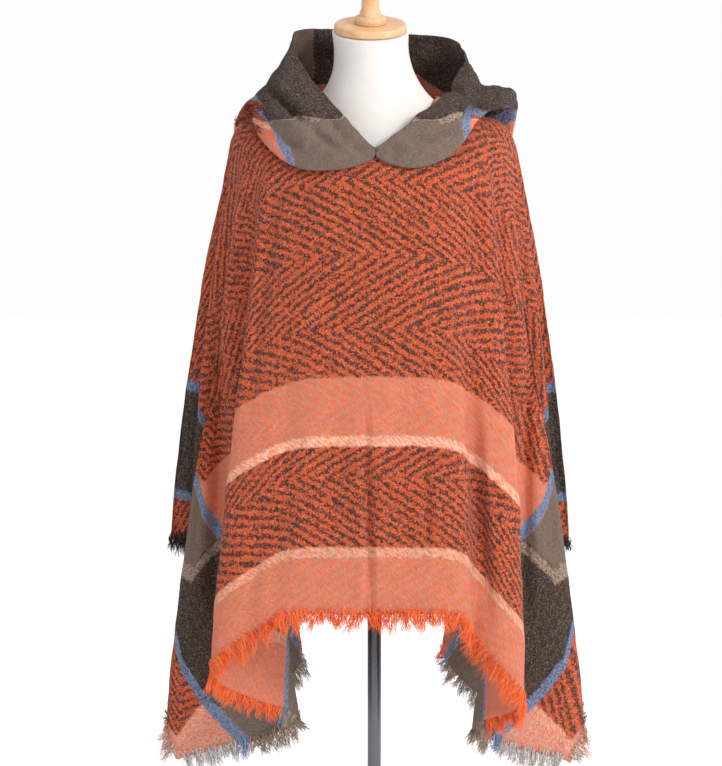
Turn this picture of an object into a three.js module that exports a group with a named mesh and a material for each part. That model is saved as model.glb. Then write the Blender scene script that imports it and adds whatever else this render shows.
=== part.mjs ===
// Hooded, fringed blanket poncho resting on a limbless dress form.
// Millimetres, +Z up, the wearer's front faces -Y. The origin is the middle of the stand's underside.
// The cloth is one square blanket with a neck hole. A point of it has a flat angle, measured at the
// neck hole from the centre front, and a distance run from the neckline towards the hem.
import * as THREE from 'three';
import { mergeVertices } from 'three/addons/utils/BufferGeometryUtils.js';

// Cloth
const WALL = 2.4;
const SEAM_GAP = 0.3;
const HALF_LENGTH = 837;
const HALF_WIDTH = 905;
const CORNER = THREE.MathUtils.radToDeg(Math.atan2(HALF_WIDTH, HALF_LENGTH));

// Neck hole: half-width, half-depths and heights of its edge
const NECK = { side: 95, front: 104, back: 84, sideZ: 1371, frontZ: 1288, backZ: 1388 };
const NECK_CUT = { front: 122, side: 92 };
const NECK_POWER = 2;

// Shoulder line, where the cloth turns from the slope of the shoulders to its fall
const SHOULDER = { left: 221, right: 216, front: 132, back: 138, sideZ: 1331, frontZ: 1255, backZ: 1290 };
const SHOULDER_POWER = 3;
const SHOULDER_SPREAD = 13;
const SHOULDER_BEND = { run: 34, mostOfSlope: 0.8 };

// Even flare that the folds depart from
const FLARE = { side: 306, front: 205, back: 220 };
const FLARE_POWER = 1.65;
const FOLD_POWER = 1.25;

// Hem stations, viewer's left, front to back: flat angle, place in plan, length taken up by the folds
const LEFT_HEM = [
  { flat: 0, x: 0, y: -204, take: 0 },
  { flat: 14, x: 128, y: -203, take: 0 },
  { flat: 26, x: 188, y: -200, take: 0 },
  { flat: 32, x: 236, y: -193, take: 0 },
  { flat: 34.5, x: 252, y: -179, take: 0 },
  { flat: 36.5, x: 240, y: -156, take: 0 },
  { flat: 39, x: 194, y: -120, take: 2 },
  { flat: 41.3, x: 138, y: -84, take: 5 },
  { flat: 42.8, x: 119, y: -64, take: 6 },
  { flat: 44.8, x: 186, y: -52, take: 6 },
  { flat: CORNER, x: 318, y: -42, take: 8 },
  { flat: 49.5, x: 336, y: -33, take: 10 },
  { flat: 53, x: 310, y: -20, take: 10 },
  { flat: 57, x: 216, y: -8, take: 8 },
  { flat: 60, x: 192, y: 0, take: 6 },
  { flat: 63.5, x: 228, y: 8, take: 4 },
  { flat: 68, x: 290, y: 17, take: 2 },
  { flat: 71, x: 300, y: 22, take: 0 },
  { flat: 74, x: 272, y: 27, take: 0 },
  { flat: 78, x: 206, y: 34, take: 0 },
  { flat: 80.5, x: 192, y: 38, take: 0 },
  { flat: 83.5, x: 234, y: 43, take: 0 },
  { flat: 87.5, x: 320, y: 50, take: 0 },
  { flat: 90, x: 334, y: 54, take: 0 },
  { flat: 93, x: 320, y: 59, take: 0 },
  { flat: 98, x: 228, y: 68, take: 0 },
  { flat: 101, x: 196, y: 75, take: 2 },
  { flat: 104, x: 216, y: 82, take: 4 },
  { flat: 109, x: 286, y: 91, take: 8 },
  { flat: 112, x: 300, y: 96, take: 10 },
  { flat: 115, x: 276, y: 101, take: 12 },
  { flat: 119, x: 210, y: 108, take: 12 },
  { flat: 122, x: 196, y: 113, take: 12 },
  { flat: 125, x: 236, y: 117, take: 12 },
  { flat: 129.5, x: 304, y: 121, take: 12 },
  { flat: 180 - CORNER, x: 288, y: 127, take: 12 },
  { flat: 136, x: 166, y: 136, take: 12 },
  { flat: 139, x: 122, y: 147, take: 12 },
  { flat: 143, x: 152, y: 163, take: 10 },
  { flat: 148, x: 222, y: 184, take: 6 },
  { flat: 152, x: 244, y: 199, take: 0 },
  { flat: 157, x: 222, y: 211, take: 0 },
  { flat: 163, x: 156, y: 214, take: 0 },
  { flat: 169, x: 96, y: 206, take: 0 },
  { flat: 174, x: 48, y: 212, take: 0 },
  { flat: 180, x: 0, y: 222, take: 0 },
];

// The same on the viewer's right, with a narrow pleat beside the centre front
const RIGHT_HEM = [
  { flat: 0, x: 0, y: -204, take: 0 },
  { flat: 12, x: 112, y: -203, take: 0 },
  { flat: 20, x: 141, y: -196, take: 0 },
  { flat: 26, x: 152, y: -174, take: 0 },
  { flat: 30, x: 168, y: -185, take: 0 },
  { flat: 34, x: 196, y: -197, take: 0 },
  { flat: 37, x: 220, y: -191, take: 0 },
  { flat: 38.6, x: 230, y: -172, take: 0 },
  { flat: 40.2, x: 212, y: -138, take: 2 },
  { flat: 41.8, x: 176, y: -98, take: 5 },
  { flat: 43, x: 157, y: -72, take: 6 },
  { flat: 45, x: 206, y: -57, take: 6 },
  { flat: CORNER, x: 316, y: -44, take: 8 },
  { flat: 50, x: 338, y: -33, take: 10 },
  { flat: 54, x: 306, y: -20, take: 10 },
  { flat: 58, x: 212, y: -9, take: 8 },
  { flat: 61, x: 190, y: -1, take: 6 },
  { flat: 64.5, x: 222, y: 7, take: 4 },
  { flat: 69, x: 284, y: 17, take: 2 },
  { flat: 72.5, x: 296, y: 23, take: 0 },
  { flat: 76, x: 262, y: 28, take: 0 },
  { flat: 79.5, x: 204, y: 34, take: 0 },
  { flat: 82, x: 192, y: 38, take: 0 },
  { flat: 85, x: 240, y: 44, take: 0 },
  { flat: 88, x: 306, y: 50, take: 0 },
  { flat: 90, x: 320, y: 54, take: 0 },
  { flat: 93.5, x: 300, y: 60, take: 0 },
  { flat: 98.5, x: 222, y: 69, take: 0 },
  { flat: 102, x: 192, y: 77, take: 2 },
  { flat: 105.5, x: 218, y: 84, take: 4 },
  { flat: 110, x: 280, y: 93, take: 8 },
  { flat: 113, x: 292, y: 98, take: 10 },
  { flat: 116.5, x: 266, y: 104, take: 12 },
  { flat: 120.5, x: 206, y: 110, take: 12 },
  { flat: 123.5, x: 194, y: 115, take: 12 },
  { flat: 126.5, x: 232, y: 119, take: 12 },
  { flat: 130, x: 300, y: 123, take: 12 },
  { flat: 180 - CORNER, x: 286, y: 128, take: 12 },
  { flat: 136.5, x: 160, y: 139, take: 12 },
  { flat: 140, x: 118, y: 151, take: 12 },
  { flat: 145, x: 164, y: 172, take: 8 },
  { flat: 150, x: 224, y: 193, take: 2 },
  { flat: 154, x: 238, y: 205, take: 0 },
  { flat: 160, x: 196, y: 215, take: 0 },
  { flat: 166, x: 120, y: 212, take: 0 },
  { flat: 172, x: 62, y: 204, take: 0 },
  { flat: 176, x: 30, y: 214, take: 0 },
  { flat: 180, x: 0, y: 222, take: 0 },
];

// Hood stations, front to back: how far the roll reaches down the panel, how far the roll and the
// outer layer stand off the panel, and where the face edge is
const LEFT_HOOD = [
  { flat: 0, reach: 15, roll: 5, puff: 9, x: 0, y: -121, z: 1291 },
  { flat: 6, reach: 38, roll: 6, puff: 14, x: 13, y: -118, z: 1301 },
  { flat: 13, reach: 62, roll: 8, puff: 21, x: 27, y: -112, z: 1316 },
  { flat: 23, reach: 91, roll: 9, puff: 27, x: 50, y: -97, z: 1343 },
  { flat: 33, reach: 102, roll: 10, puff: 31, x: 72, y: -76, z: 1366 },
  { flat: 46, reach: 106, roll: 11, puff: 36, x: 92, y: -50, z: 1391 },
  { flat: 62, reach: 99, roll: 15, puff: 46, x: 110, y: -20, z: 1416 },
  { flat: 80, reach: 88, roll: 20, puff: 54, x: 129, y: 18, z: 1449 },
  { flat: 105, reach: 96, roll: 22, puff: 54, x: 127, y: 62, z: 1477 },
  { flat: 130, reach: 168, roll: 20, puff: 45, x: 98, y: 92, z: 1485 },
  { flat: 155, reach: 262, roll: 16, puff: 46, x: 52, y: 108, z: 1484 },
  { flat: 180, reach: 300, roll: 14, puff: 46, x: 0, y: 112, z: 1480 },
];
const RIGHT_HOOD = [
  { flat: 0, reach: 15, roll: 5, puff: 9, x: 0, y: -121, z: 1291 },
  { flat: 6, reach: 36, roll: 6, puff: 13, x: 14, y: -118, z: 1300 },
  { flat: 13, reach: 56, roll: 7, puff: 19, x: 28, y: -114, z: 1311 },
  { flat: 23, reach: 71, roll: 8, puff: 24, x: 52, y: -98, z: 1327 },
  { flat: 33, reach: 76, roll: 9, puff: 27, x: 74, y: -78, z: 1344 },
  { flat: 46, reach: 75, roll: 12, puff: 30, x: 94, y: -52, z: 1360 },
  { flat: 60, reach: 86, roll: 18, puff: 31, x: 112, y: -24, z: 1379 },
  { flat: 75, reach: 110, roll: 28, puff: 40, x: 126, y: 8, z: 1402 },
  { flat: 90, reach: 117, roll: 30, puff: 44, x: 144, y: 40, z: 1428 },
  { flat: 108, reach: 124, roll: 26, puff: 44, x: 140, y: 68, z: 1456 },
  { flat: 125, reach: 152, roll: 18, puff: 42, x: 120, y: 88, z: 1470 },
  { flat: 143, reach: 215, roll: 18, puff: 45, x: 86, y: 103, z: 1475 },
  { flat: 162, reach: 280, roll: 16, puff: 46, x: 46, y: 110, z: 1478 },
  { flat: 180, reach: 300, roll: 14, puff: 46, x: 0, y: 112, z: 1480 },
];
const HOOD_WALL = 2.2;
const HOOD_SEAM_LIFT = HOOD_WALL / 2 + 0.8;
const HOOD_ROWS = 14;
const HOOD_COLUMNS = 20;

// Hood section in shares of its reach and roll: the layer under the roll, the roll, then the puff
const HOOD_UNDER = { shares: [0, 0.3, 0.6, 0.85], lift: 0.8, leastRun: 2 };
const HOOD_TURN = [
  { reach: 1, lift: 1.1 },
  { reach: 0.93, lift: 1.6 },
];
const HOOD_PUFF_REACH = 0.5;

// Fringe: a narrow strip below the hem whose lower edge runs out into locks of yarn
const FRINGE = { strip: 5, length: 34, pitch: 22, sway: 7, hang: 0.6, wall: 1.6, gap: 0.9 };
const FRINGE_REACH = { even: 0.85, uneven: 0.25 };
const FRINGE_EDGE = 0.4;

// Mesh steps of the panels
const BEND_SHARES = [-0.35, 0.35];
const FALL_STEPS = 10;
const COLUMN_STEP = 42;

// Distances over which a normal is taken: degrees of flat angle, millimetres of run
const NORMAL_TURN = 0.05;
const NORMAL_RUN = 1.5;

// Dress form: jersey-covered torso, wooden neck block, steel pole and round base
const FORM_CLEARANCE = 0.7;
const FORM_SEGMENTS = 54;
const FORM_NECK = [
  { z: 1474, side: 60, front: 60, back: 60, shift: -7 },
  { z: 1440, side: 59, front: 60, back: 60, shift: -5 },
  { z: 1405, side: 67, front: 66, back: 64, shift: -2 },
];
// Rings just under the cloth: where they are, in slopes and bends of its columns, and how deep below it
const FORM_SHOULDER = [
  { slopes: 0, bends: 0, inset: 0 },
  { slopes: 0.5, bends: -0.5, inset: 0.6 },
  { slopes: 1, bends: -1, inset: 0.3 },
  { slopes: 1, bends: 0, inset: 2 },
  { slopes: 1, bends: 1, inset: 5 },
];
const FORM_TORSO = [
  { z: 1190, side: 186, front: 126, back: 118 },
  { z: 1110, side: 168, front: 128, back: 106 },
  { z: 1030, side: 146, front: 104, back: 92 },
  { z: 950, side: 130, front: 92, back: 88 },
  { z: 870, side: 148, front: 100, back: 104 },
  { z: 790, side: 166, front: 106, back: 120 },
  { z: 735, side: 162, front: 102, back: 114 },
  { z: 722, side: 150, front: 92, back: 104 },
];
const NECK_TILT = 18;
const CAP = { radius: 57, height: 13, round: 4 };
const FINIAL = {
  flange: 25, lip: 5, lipHeight: 6, step: 17, stepHeight: 12, foot: 16, footHeight: 19,
  stem: 14, stemHeight: 27, ball: 22, height: 84, topAngle: 75,
};
const POLE_RADIUS = 11;
const BASE = { radius: 150, height: 12, round: 3 };
const STEP_GAP = 0.3;
const TURNED_SEGMENTS = 16;
const POLE_SEGMENTS = 20;
const CAP_SEGMENTS = 24;
const BASE_SEGMENTS = 32;

const COLOURS = {
  orange: 0xd9592b,
  taupe: 0x6b5d50,
  fringe: 0xfc7a40,
  jersey: 0xefebe8,
  wood: 0xe8b88a,
  steel: 0x8d8f93,
};

const radians = THREE.MathUtils.degToRad;

// Monotone cubic interpolation of one named column of a table over its flat angle
function column(table, name) {
  const t = table.map((row) => row.flat);
  const v = table.map((row) => row[name]);
  const slope = v.map((value, i) => (i + 1 < v.length ? (v[i + 1] - value) / (t[i + 1] - t[i]) : 0));
  const tangent = v.map((value, i) => {
    if (i === 0 || i === v.length - 1) {
      return i === 0 ? slope[0] : slope[v.length - 2];
    }
    const before = slope[i - 1];
    const after = slope[i];
    return before * after <= 0 ? 0 : (2 * before * after) / (before + after);
  });
  return (flat) => {
    let i = 0;
    while (i < t.length - 2 && flat > t[i + 1]) {
      i += 1;
    }
    const span = t[i + 1] - t[i];
    const u = THREE.MathUtils.clamp((flat - t[i]) / span, 0, 1);
    const w = 1 - u;
    return v[i] * w * w * (1 + 2 * u) + v[i + 1] * u * u * (3 - 2 * u)
      + tangent[i] * span * u * w * w - tangent[i + 1] * span * u * u * w;
  };
}

function columns(table, names) {
  return Object.fromEntries(names.map((name) => [name, column(table, name)]));
}

const HEMS = {
  left: { side: -1, table: LEFT_HEM, at: columns(LEFT_HEM, ['x', 'y', 'take']) },
  right: { side: 1, table: RIGHT_HEM, at: columns(RIGHT_HEM, ['x', 'y', 'take']) },
};

// A point on an oval with different half-depths in front and behind
function oval(side, front, back, turn) {
  const c = Math.cos(turn);
  return [side * Math.sin(turn), c > 0 ? -front * c : -back * c];
}

// Height on a ring that rises from its front or back to its side
function ringHeight(ring, turn, power) {
  const low = Math.cos(turn) > 0 ? ring.frontZ : ring.backZ;
  return low + (ring.sideZ - low) * Math.abs(Math.sin(turn)) ** power;
}

// Flat length of the blanket from the middle of the neck hole to its edge and to the neckline
function flatReach(flat) {
  const a = radians(flat);
  return 1 / Math.max(Math.abs(Math.cos(a)) / HALF_LENGTH, Math.abs(Math.sin(a)) / HALF_WIDTH);
}

function flatNeck(flat) {
  const a = radians(flat);
  const ahead = flat < 90 ? NECK_CUT.front : NECK_CUT.side;
  return 1 / Math.hypot(Math.cos(a) / ahead, Math.sin(a) / NECK_CUT.side);
}

// One column of the blanket: the route of its yarns from the neckline over the shoulder to the hem
function clothColumn(hem, flat) {
  const turn = radians(flat + SHOULDER_SPREAD * Math.sin(radians(2 * flat)));
  const width = hem.side < 0 ? SHOULDER.left : SHOULDER.right;
  const neckPlan = oval(NECK.side, NECK.front, NECK.back, turn);
  const neck = new THREE.Vector3(hem.side * neckPlan[0], neckPlan[1], ringHeight(NECK, turn, NECK_POWER));
  const plan = oval(width, SHOULDER.front, SHOULDER.back, turn);
  const height = ringHeight(SHOULDER, turn, SHOULDER_POWER);
  const shoulder = new THREE.Vector3(hem.side * plan[0], plan[1], height);
  const flare = oval(FLARE.side, FLARE.front, FLARE.back, turn);
  flare[0] *= hem.side;
  const foot = [hem.side * hem.at.x(flat), hem.at.y(flat)];
  const slopeRun = neck.distanceTo(shoulder);
  const fallRun = flatReach(flat) - flatNeck(flat) - slopeRun - hem.at.take(flat);
  const across = Math.hypot(foot[0] - shoulder.x, foot[1] - shoulder.y);
  const drop = Math.sqrt(fallRun * fallRun - across * across);
  const bend = Math.min(SHOULDER_BEND.run, slopeRun * SHOULDER_BEND.mostOfSlope);
  const falling = (s) => {
    const spread = 1 - (1 - s) ** FLARE_POWER;
    const fold = s ** FOLD_POWER;
    return new THREE.Vector3(
      shoulder.x * (1 - spread) + flare[0] * (spread - fold) + foot[0] * fold,
      shoulder.y * (1 - spread) + flare[1] * (spread - fold) + foot[1] * fold,
      shoulder.z - drop * s,
    );
  };
  const at = (run) => {
    if (run <= slopeRun - bend) {
      return neck.clone().lerp(shoulder, run / slopeRun);
    }
    if (run >= slopeRun + bend) {
      return falling(Math.min(1, (run - slopeRun) / fallRun));
    }
    const u = (run - slopeRun + bend) / (2 * bend);
    const start = neck.clone().lerp(shoulder, 1 - bend / slopeRun);
    const end = falling(bend / fallRun);
    start.multiplyScalar((1 - u) * (1 - u));
    return start.addScaledVector(shoulder, 2 * u * (1 - u)).addScaledVector(end, u * u);
  };
  return { at, slopeRun, bend, length: slopeRun + fallRun };
}

// Point, outward normal and downward direction of the cloth at a run in millimetres from the neckline
function clothPoint(hem, flat, run) {
  const here = clothColumn(hem, flat);
  const low = Math.max(0, flat - NORMAL_TURN);
  const high = Math.min(180, flat + NORMAL_TURN);
  const ratio = run / here.length;
  const before = clothColumn(hem, low);
  const after = clothColumn(hem, high);
  const fixed = run < here.slopeRun + here.bend;
  const runOf = (col) => (fixed ? run : ratio * col.length);
  const along = after.at(runOf(after)).sub(before.at(runOf(before)));
  if (low === 0 || high === 180) {
    along.y = 0;
    along.z = 0;
  }
  const start = Math.max(0, run - NORMAL_RUN);
  const end = Math.min(here.length, run + NORMAL_RUN);
  const down = here.at(end).sub(here.at(start));
  const normal = new THREE.Vector3().crossVectors(down, along).normalize().multiplyScalar(hem.side);
  return { point: here.at(run), normal, down: down.normalize() };
}

// Closed solid between two grids of points, outer and inner, both [row][place]
function slab(outer, inner) {
  const rows = outer.length;
  const places = outer[0].length;
  const lastRow = rows - 1;
  const lastPlace = places - 1;
  const points = [];
  const faces = [];
  const number = (layer, r, p) => (layer * rows + r) * places + p;
  for (const layer of [outer, inner]) {
    for (const row of layer) {
      points.push(...row);
    }
  }
  const quad = (a, b, c, d) => faces.push(a, c, b, a, d, c);
  for (let r = 0; r + 1 < rows; r += 1) {
    for (let p = 0; p + 1 < places; p += 1) {
      quad(number(0, r, p), number(0, r + 1, p), number(0, r + 1, p + 1), number(0, r, p + 1));
      quad(number(1, r, p), number(1, r, p + 1), number(1, r + 1, p + 1), number(1, r + 1, p));
    }
    quad(number(0, r, 0), number(1, r, 0), number(1, r + 1, 0), number(0, r + 1, 0));
    const end = (layer, row) => number(layer, row, lastPlace);
    quad(end(0, r), end(0, r + 1), end(1, r + 1), end(1, r));
  }
  for (let p = 0; p + 1 < places; p += 1) {
    quad(number(0, 0, p), number(0, 0, p + 1), number(1, 0, p + 1), number(1, 0, p));
    quad(number(0, lastRow, p), number(1, lastRow, p), number(1, lastRow, p + 1), number(0, lastRow, p + 1));
  }
  return solid(points, faces);
}

function solid(points, faces) {
  const geometry = new THREE.BufferGeometry();
  const numbers = points.flatMap((v) => [v.x, v.y, v.z]);
  geometry.setAttribute('position', new THREE.Float32BufferAttribute(numbers, 3));
  geometry.setIndex(faces);
  return geometry;
}

// Places along the hem between two flat angles, as [hem, flat] pairs going from left to right or back
function hemPlaces(hem, from, to, step) {
  const places = [];
  const stations = hem.table.map((row) => row.flat).filter((flat) => flat > from && flat < to);
  const stops = [from, ...stations, to];
  for (let i = 0; i + 1 < stops.length; i += 1) {
    const a = stops[i];
    const b = stops[i + 1];
    const span = Math.hypot(hem.at.x(b) - hem.at.x(a), hem.at.y(b) - hem.at.y(a));
    const count = Math.max(1, Math.round(span / step));
    for (let k = 0; k < count; k += 1) {
      places.push(a + ((b - a) * k) / count);
    }
  }
  places.push(to);
  return places.map((flat) => ({ hem, flat }));
}

// Panel between the shoulder seams: its columns run from the viewer's left seam to the right one
function panelPlaces(ahead) {
  const range = ahead ? [0, 90] : [90, 180];
  const left = hemPlaces(HEMS.left, ...range, COLUMN_STEP);
  const right = hemPlaces(HEMS.right, ...range, COLUMN_STEP);
  if (ahead) {
    return [...left.reverse(), ...right.slice(1)];
  }
  return [...right, ...left.reverse().slice(1)];
}

function panelRuns(col) {
  const flatPart = col.slopeRun - col.bend;
  const top = col.slopeRun + col.bend;
  const runs = [0, flatPart / 2, flatPart, ...BEND_SHARES.map((share) => col.slopeRun + share * col.bend)];
  for (let k = 0; k <= FALL_STEPS; k += 1) {
    runs.push(top + ((col.length - top) * k) / FALL_STEPS);
  }
  return runs;
}

function panel(ahead) {
  const places = panelPlaces(ahead);
  const outerColumns = [];
  const innerColumns = [];
  places.forEach(({ hem, flat }, index) => {
    const col = clothColumn(hem, flat);
    const outer = [];
    const inner = [];
    for (const run of panelRuns(col)) {
      const { point, normal, down } = clothPoint(hem, flat, run);
      const shift = new THREE.Vector3();
      if (index === 0 || index === places.length - 1) {
        shift.crossVectors(down, normal).normalize().multiplyScalar((SEAM_GAP / 2) * (index === 0 ? -1 : 1));
      }
      outer.push(point.clone().add(shift));
      inner.push(point.clone().add(shift).addScaledVector(normal, -WALL));
    }
    outerColumns.push(outer);
    innerColumns.push(inner);
  });
  return slab(outerColumns, innerColumns);
}

// One half of the hood: from its seam at the neckline, under a roll and back up to the face edge
function hoodHalf(hem, table) {
  const at = columns(table, ['reach', 'roll', 'puff', 'x', 'y', 'z']);
  const sections = [];
  for (let i = 0; i <= HOOD_COLUMNS; i += 1) {
    const flat = (180 * i) / HOOD_COLUMNS;
    const lifted = (run, lift) => {
      const { point, normal } = clothPoint(hem, flat, run);
      return point.addScaledVector(normal, lift);
    };
    const reach = at.reach(flat);
    const roll = at.roll(flat);
    const rise = roll * HOOD_UNDER.lift - HOOD_SEAM_LIFT;
    const route = new THREE.CatmullRomCurve3([
      ...HOOD_UNDER.shares.map((share) => (
        lifted(Math.max(HOOD_UNDER.leastRun, reach * share), HOOD_SEAM_LIFT + share * rise)
      )),
      ...HOOD_TURN.map((row) => lifted(reach * row.reach, roll * row.lift)),
      lifted(reach * HOOD_PUFF_REACH, at.puff(flat)),
      new THREE.Vector3(hem.side * at.x(flat), at.y(flat), at.z(flat)),
    ], false, 'centripetal');
    sections.push(route.getSpacedPoints(HOOD_ROWS));
  }
  const outer = [];
  const inner = [];
  sections.forEach((section, i) => {
    const previous = sections[Math.max(0, i - 1)];
    const next = sections[Math.min(sections.length - 1, i + 1)];
    const outerRow = [];
    const innerRow = [];
    section.forEach((point, k) => {
      const along = next[k].clone().sub(previous[k]);
      const across = section[Math.min(HOOD_ROWS, k + 1)].clone().sub(section[Math.max(0, k - 1)]);
      const normal = new THREE.Vector3().crossVectors(across, along).setLength(HOOD_WALL / 2);
      outerRow.push(point.clone().add(normal));
      innerRow.push(point.clone().sub(normal));
    });
    if (i === 0 || i === sections.length - 1) {
      for (const v of [...outerRow, ...innerRow]) {
        v.x = (hem.side * SEAM_GAP) / 2;
      }
    }
    outer.push(outerRow);
    inner.push(innerRow);
  });
  return slab(outer, inner);
}

// Middle of the cloth's lower edge at the panel columns of one side, front to back
function hemEdge(hem) {
  const ahead = hemPlaces(hem, 0, 90, COLUMN_STEP);
  const behind = hemPlaces(hem, 90, 180, COLUMN_STEP);
  const places = [...ahead, ...behind.slice(1)];
  return places.map(({ flat }) => {
    const { point, normal } = clothPoint(hem, flat, clothColumn(hem, flat).length);
    return { flat, normal, point: point.addScaledVector(normal, -WALL / 2) };
  });
}

function between(a, b, u) {
  return {
    flat: a.flat + (b.flat - a.flat) * u,
    point: a.point.clone().lerp(b.point, u),
    normal: a.normal.clone().lerp(b.normal, u).normalize(),
  };
}

// Part of a side's lower edge between two flat angles, in the order given
function hemStretch({ hem, from, to }) {
  const edge = hemEdge(hem);
  const [low, high] = [Math.min(from, to), Math.max(from, to)];
  const cut = (flat) => {
    const i = Math.max(1, edge.findIndex((frame) => frame.flat >= flat));
    return between(edge[i - 1], edge[i], (flat - edge[i - 1].flat) / (edge[i].flat - edge[i - 1].flat));
  };
  const inside = edge.filter((frame) => frame.flat > low + 1e-6 && frame.flat < high - 1e-6);
  const frames = [cut(low), ...inside, cut(high)];
  return from > to ? frames.reverse() : frames;
}

// Frames along the lower edge, alternately where a lock of yarn starts and where it ends
function hemFrames(stretches, pitch) {
  const corners = stretches.flatMap((stretch, i) => hemStretch(stretch).slice(i ? 1 : 0));
  const frames = [corners[0]];
  for (let i = 0; i + 1 < corners.length; i += 1) {
    const pairs = Math.max(1, Math.round(corners[i].point.distanceTo(corners[i + 1].point) / pitch));
    for (let k = 1; k <= 2 * pairs; k += 1) {
      frames.push(between(corners[i], corners[i + 1], k / (2 * pairs)));
    }
  }
  return frames;
}

// A repeatable scatter between -1 and 1
function scatter(index, salt) {
  const wave = Math.sin(index * 12.9898 + salt * 78.233) * 43758.5453;
  return 2 * (wave - Math.floor(wave)) - 1;
}

// Strip along the hem with a tapered lock of yarn on every other cell
function fringe(stretches, salt) {
  const frames = hemFrames(stretches, FRINGE.pitch);
  const points = [];
  const faces = [];
  const quad = (a, b, c, d) => faces.push(a, b, c, a, c, d);
  const rings = frames.map(({ point, normal }, i) => {
    const ahead = frames[Math.min(frames.length - 1, i + 1)].point;
    const behind = frames[Math.max(0, i - 1)].point;
    const away = new THREE.Vector3().crossVectors(normal, ahead.clone().sub(behind)).normalize().negate();
    const at = (down, out) => {
      points.push(point.clone().addScaledVector(away, down).addScaledVector(normal, out));
      return points.length - 1;
    };
    const half = FRINGE.wall / 2;
    const low = FRINGE.gap + FRINGE.strip;
    return {
      outTop: at(FRINGE.gap, half),
      outLow: at(low, half),
      inLow: at(low, -half),
      inTop: at(FRINGE.gap, -half),
      away,
    };
  });
  for (let i = 0; i + 1 < rings.length; i += 1) {
    const a = rings[i];
    const b = rings[i + 1];
    quad(a.outTop, a.outLow, b.outLow, b.outTop);
    quad(a.inTop, b.inTop, b.inLow, a.inLow);
    quad(a.outTop, b.outTop, b.inTop, a.inTop);
    if (i % 2 === 1) {
      quad(a.outLow, a.inLow, b.inLow, b.outLow);
      continue;
    }
    const root = [a.outLow, a.inLow, b.inLow, b.outLow];
    const centre = root.reduce((sum, n) => sum.add(points[n]), new THREE.Vector3()).multiplyScalar(0.25);
    const along = points[b.outLow].clone().sub(points[a.outLow]).normalize();
    const fall = a.away.clone().add(b.away).multiplyScalar(0.5);
    fall.z -= FRINGE.hang;
    fall.normalize();
    const reach = FRINGE.length * (FRINGE_REACH.even + FRINGE_REACH.uneven * scatter(i, salt));
    points.push(centre.addScaledVector(fall, reach)
      .addScaledVector(along, FRINGE.sway * scatter(i, salt + 1))
      .addScaledVector(frames[i].normal, (FRINGE.sway / 2) * scatter(i, salt + 2)));
    const tip = points.length - 1;
    for (let k = 0; k < 4; k += 1) {
      faces.push(root[k], root[(k + 1) % 4], tip);
    }
  }
  const first = rings[0];
  const last = rings[rings.length - 1];
  quad(first.outTop, first.inTop, first.inLow, first.outLow);
  quad(last.outTop, last.outLow, last.inLow, last.inTop);
  return solid(points, faces);
}

// Torso of the form: neck rings, shoulders just under the cloth, then the body down to the hips
function formTorso() {
  const rings = [];
  const ringOf = (row) => Array.from({ length: FORM_SEGMENTS }, (unused, k) => {
    const turn = (2 * Math.PI * k) / FORM_SEGMENTS;
    const [x, y] = oval(row.side, row.front, row.back, turn);
    return new THREE.Vector3(x + (row.shift || 0), y, row.z);
  });
  FORM_NECK.forEach((row, i) => {
    const ring = ringOf(row);
    if (i === 0) {
      const slope = Math.tan(radians(NECK_TILT));
      ring.forEach((v) => {
        v.z += v.y * slope;
      });
    }
    rings.push(ring);
  });
  const underCloth = ({ slopes, bends, inset }) => Array.from({ length: FORM_SEGMENTS }, (unused, k) => {
    const around = (360 * k) / FORM_SEGMENTS;
    const hem = around <= 180 ? HEMS.right : HEMS.left;
    const flat = around <= 180 ? around : 360 - around;
    const col = clothColumn(hem, flat);
    const { point, normal } = clothPoint(hem, flat, slopes * col.slopeRun + bends * col.bend);
    return point.addScaledVector(normal, -(WALL + FORM_CLEARANCE + inset));
  });
  FORM_SHOULDER.forEach((row) => rings.push(underCloth(row)));
  FORM_TORSO.forEach((row) => rings.push(ringOf(row)));
  const points = rings.flat();
  const faces = [];
  rings.forEach((ring, r) => {
    if (r + 1 === rings.length) {
      return;
    }
    for (let k = 0; k < FORM_SEGMENTS; k += 1) {
      const next = (k + 1) % FORM_SEGMENTS;
      const a = r * FORM_SEGMENTS;
      const b = a + FORM_SEGMENTS;
      faces.push(a + k, b + k, b + next, a + k, b + next, a + next);
    }
  });
  const cap = (ring, start, upward) => {
    const middle = ring.reduce((sum, v) => sum.add(v), new THREE.Vector3()).multiplyScalar(1 / FORM_SEGMENTS);
    points.push(middle);
    for (let k = 0; k < FORM_SEGMENTS; k += 1) {
      const pair = [start + k, start + ((k + 1) % FORM_SEGMENTS)];
      faces.push(points.length - 1, ...(upward ? pair : pair.reverse()));
    }
  };
  cap(rings[0], 0, true);
  cap(rings[rings.length - 1], (rings.length - 1) * FORM_SEGMENTS, false);
  return solid(points, faces);
}

function lathe(profile, segments) {
  const geometry = new THREE.LatheGeometry(profile.map(([r, z]) => new THREE.Vector2(r, z)), segments);
  geometry.rotateX(Math.PI / 2);
  geometry.deleteAttribute('normal');
  geometry.deleteAttribute('uv');
  return mergeVertices(geometry, 1e-3);
}

function arc(centreR, centreZ, radius, from, to, steps) {
  return Array.from({ length: steps + 1 }, (unused, k) => {
    const a = radians(from + ((to - from) * k) / steps);
    return [centreR + radius * Math.cos(a), centreZ + radius * Math.sin(a)];
  });
}

function capGeometry() {
  const { radius, height, round } = CAP;
  return lathe([
    [0, 0],
    ...arc(radius - round, round, round, -90, 0, 2),
    ...arc(radius - round, height - round, round, 0, 90, 2),
    [0, height],
  ], CAP_SEGMENTS);
}

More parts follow.
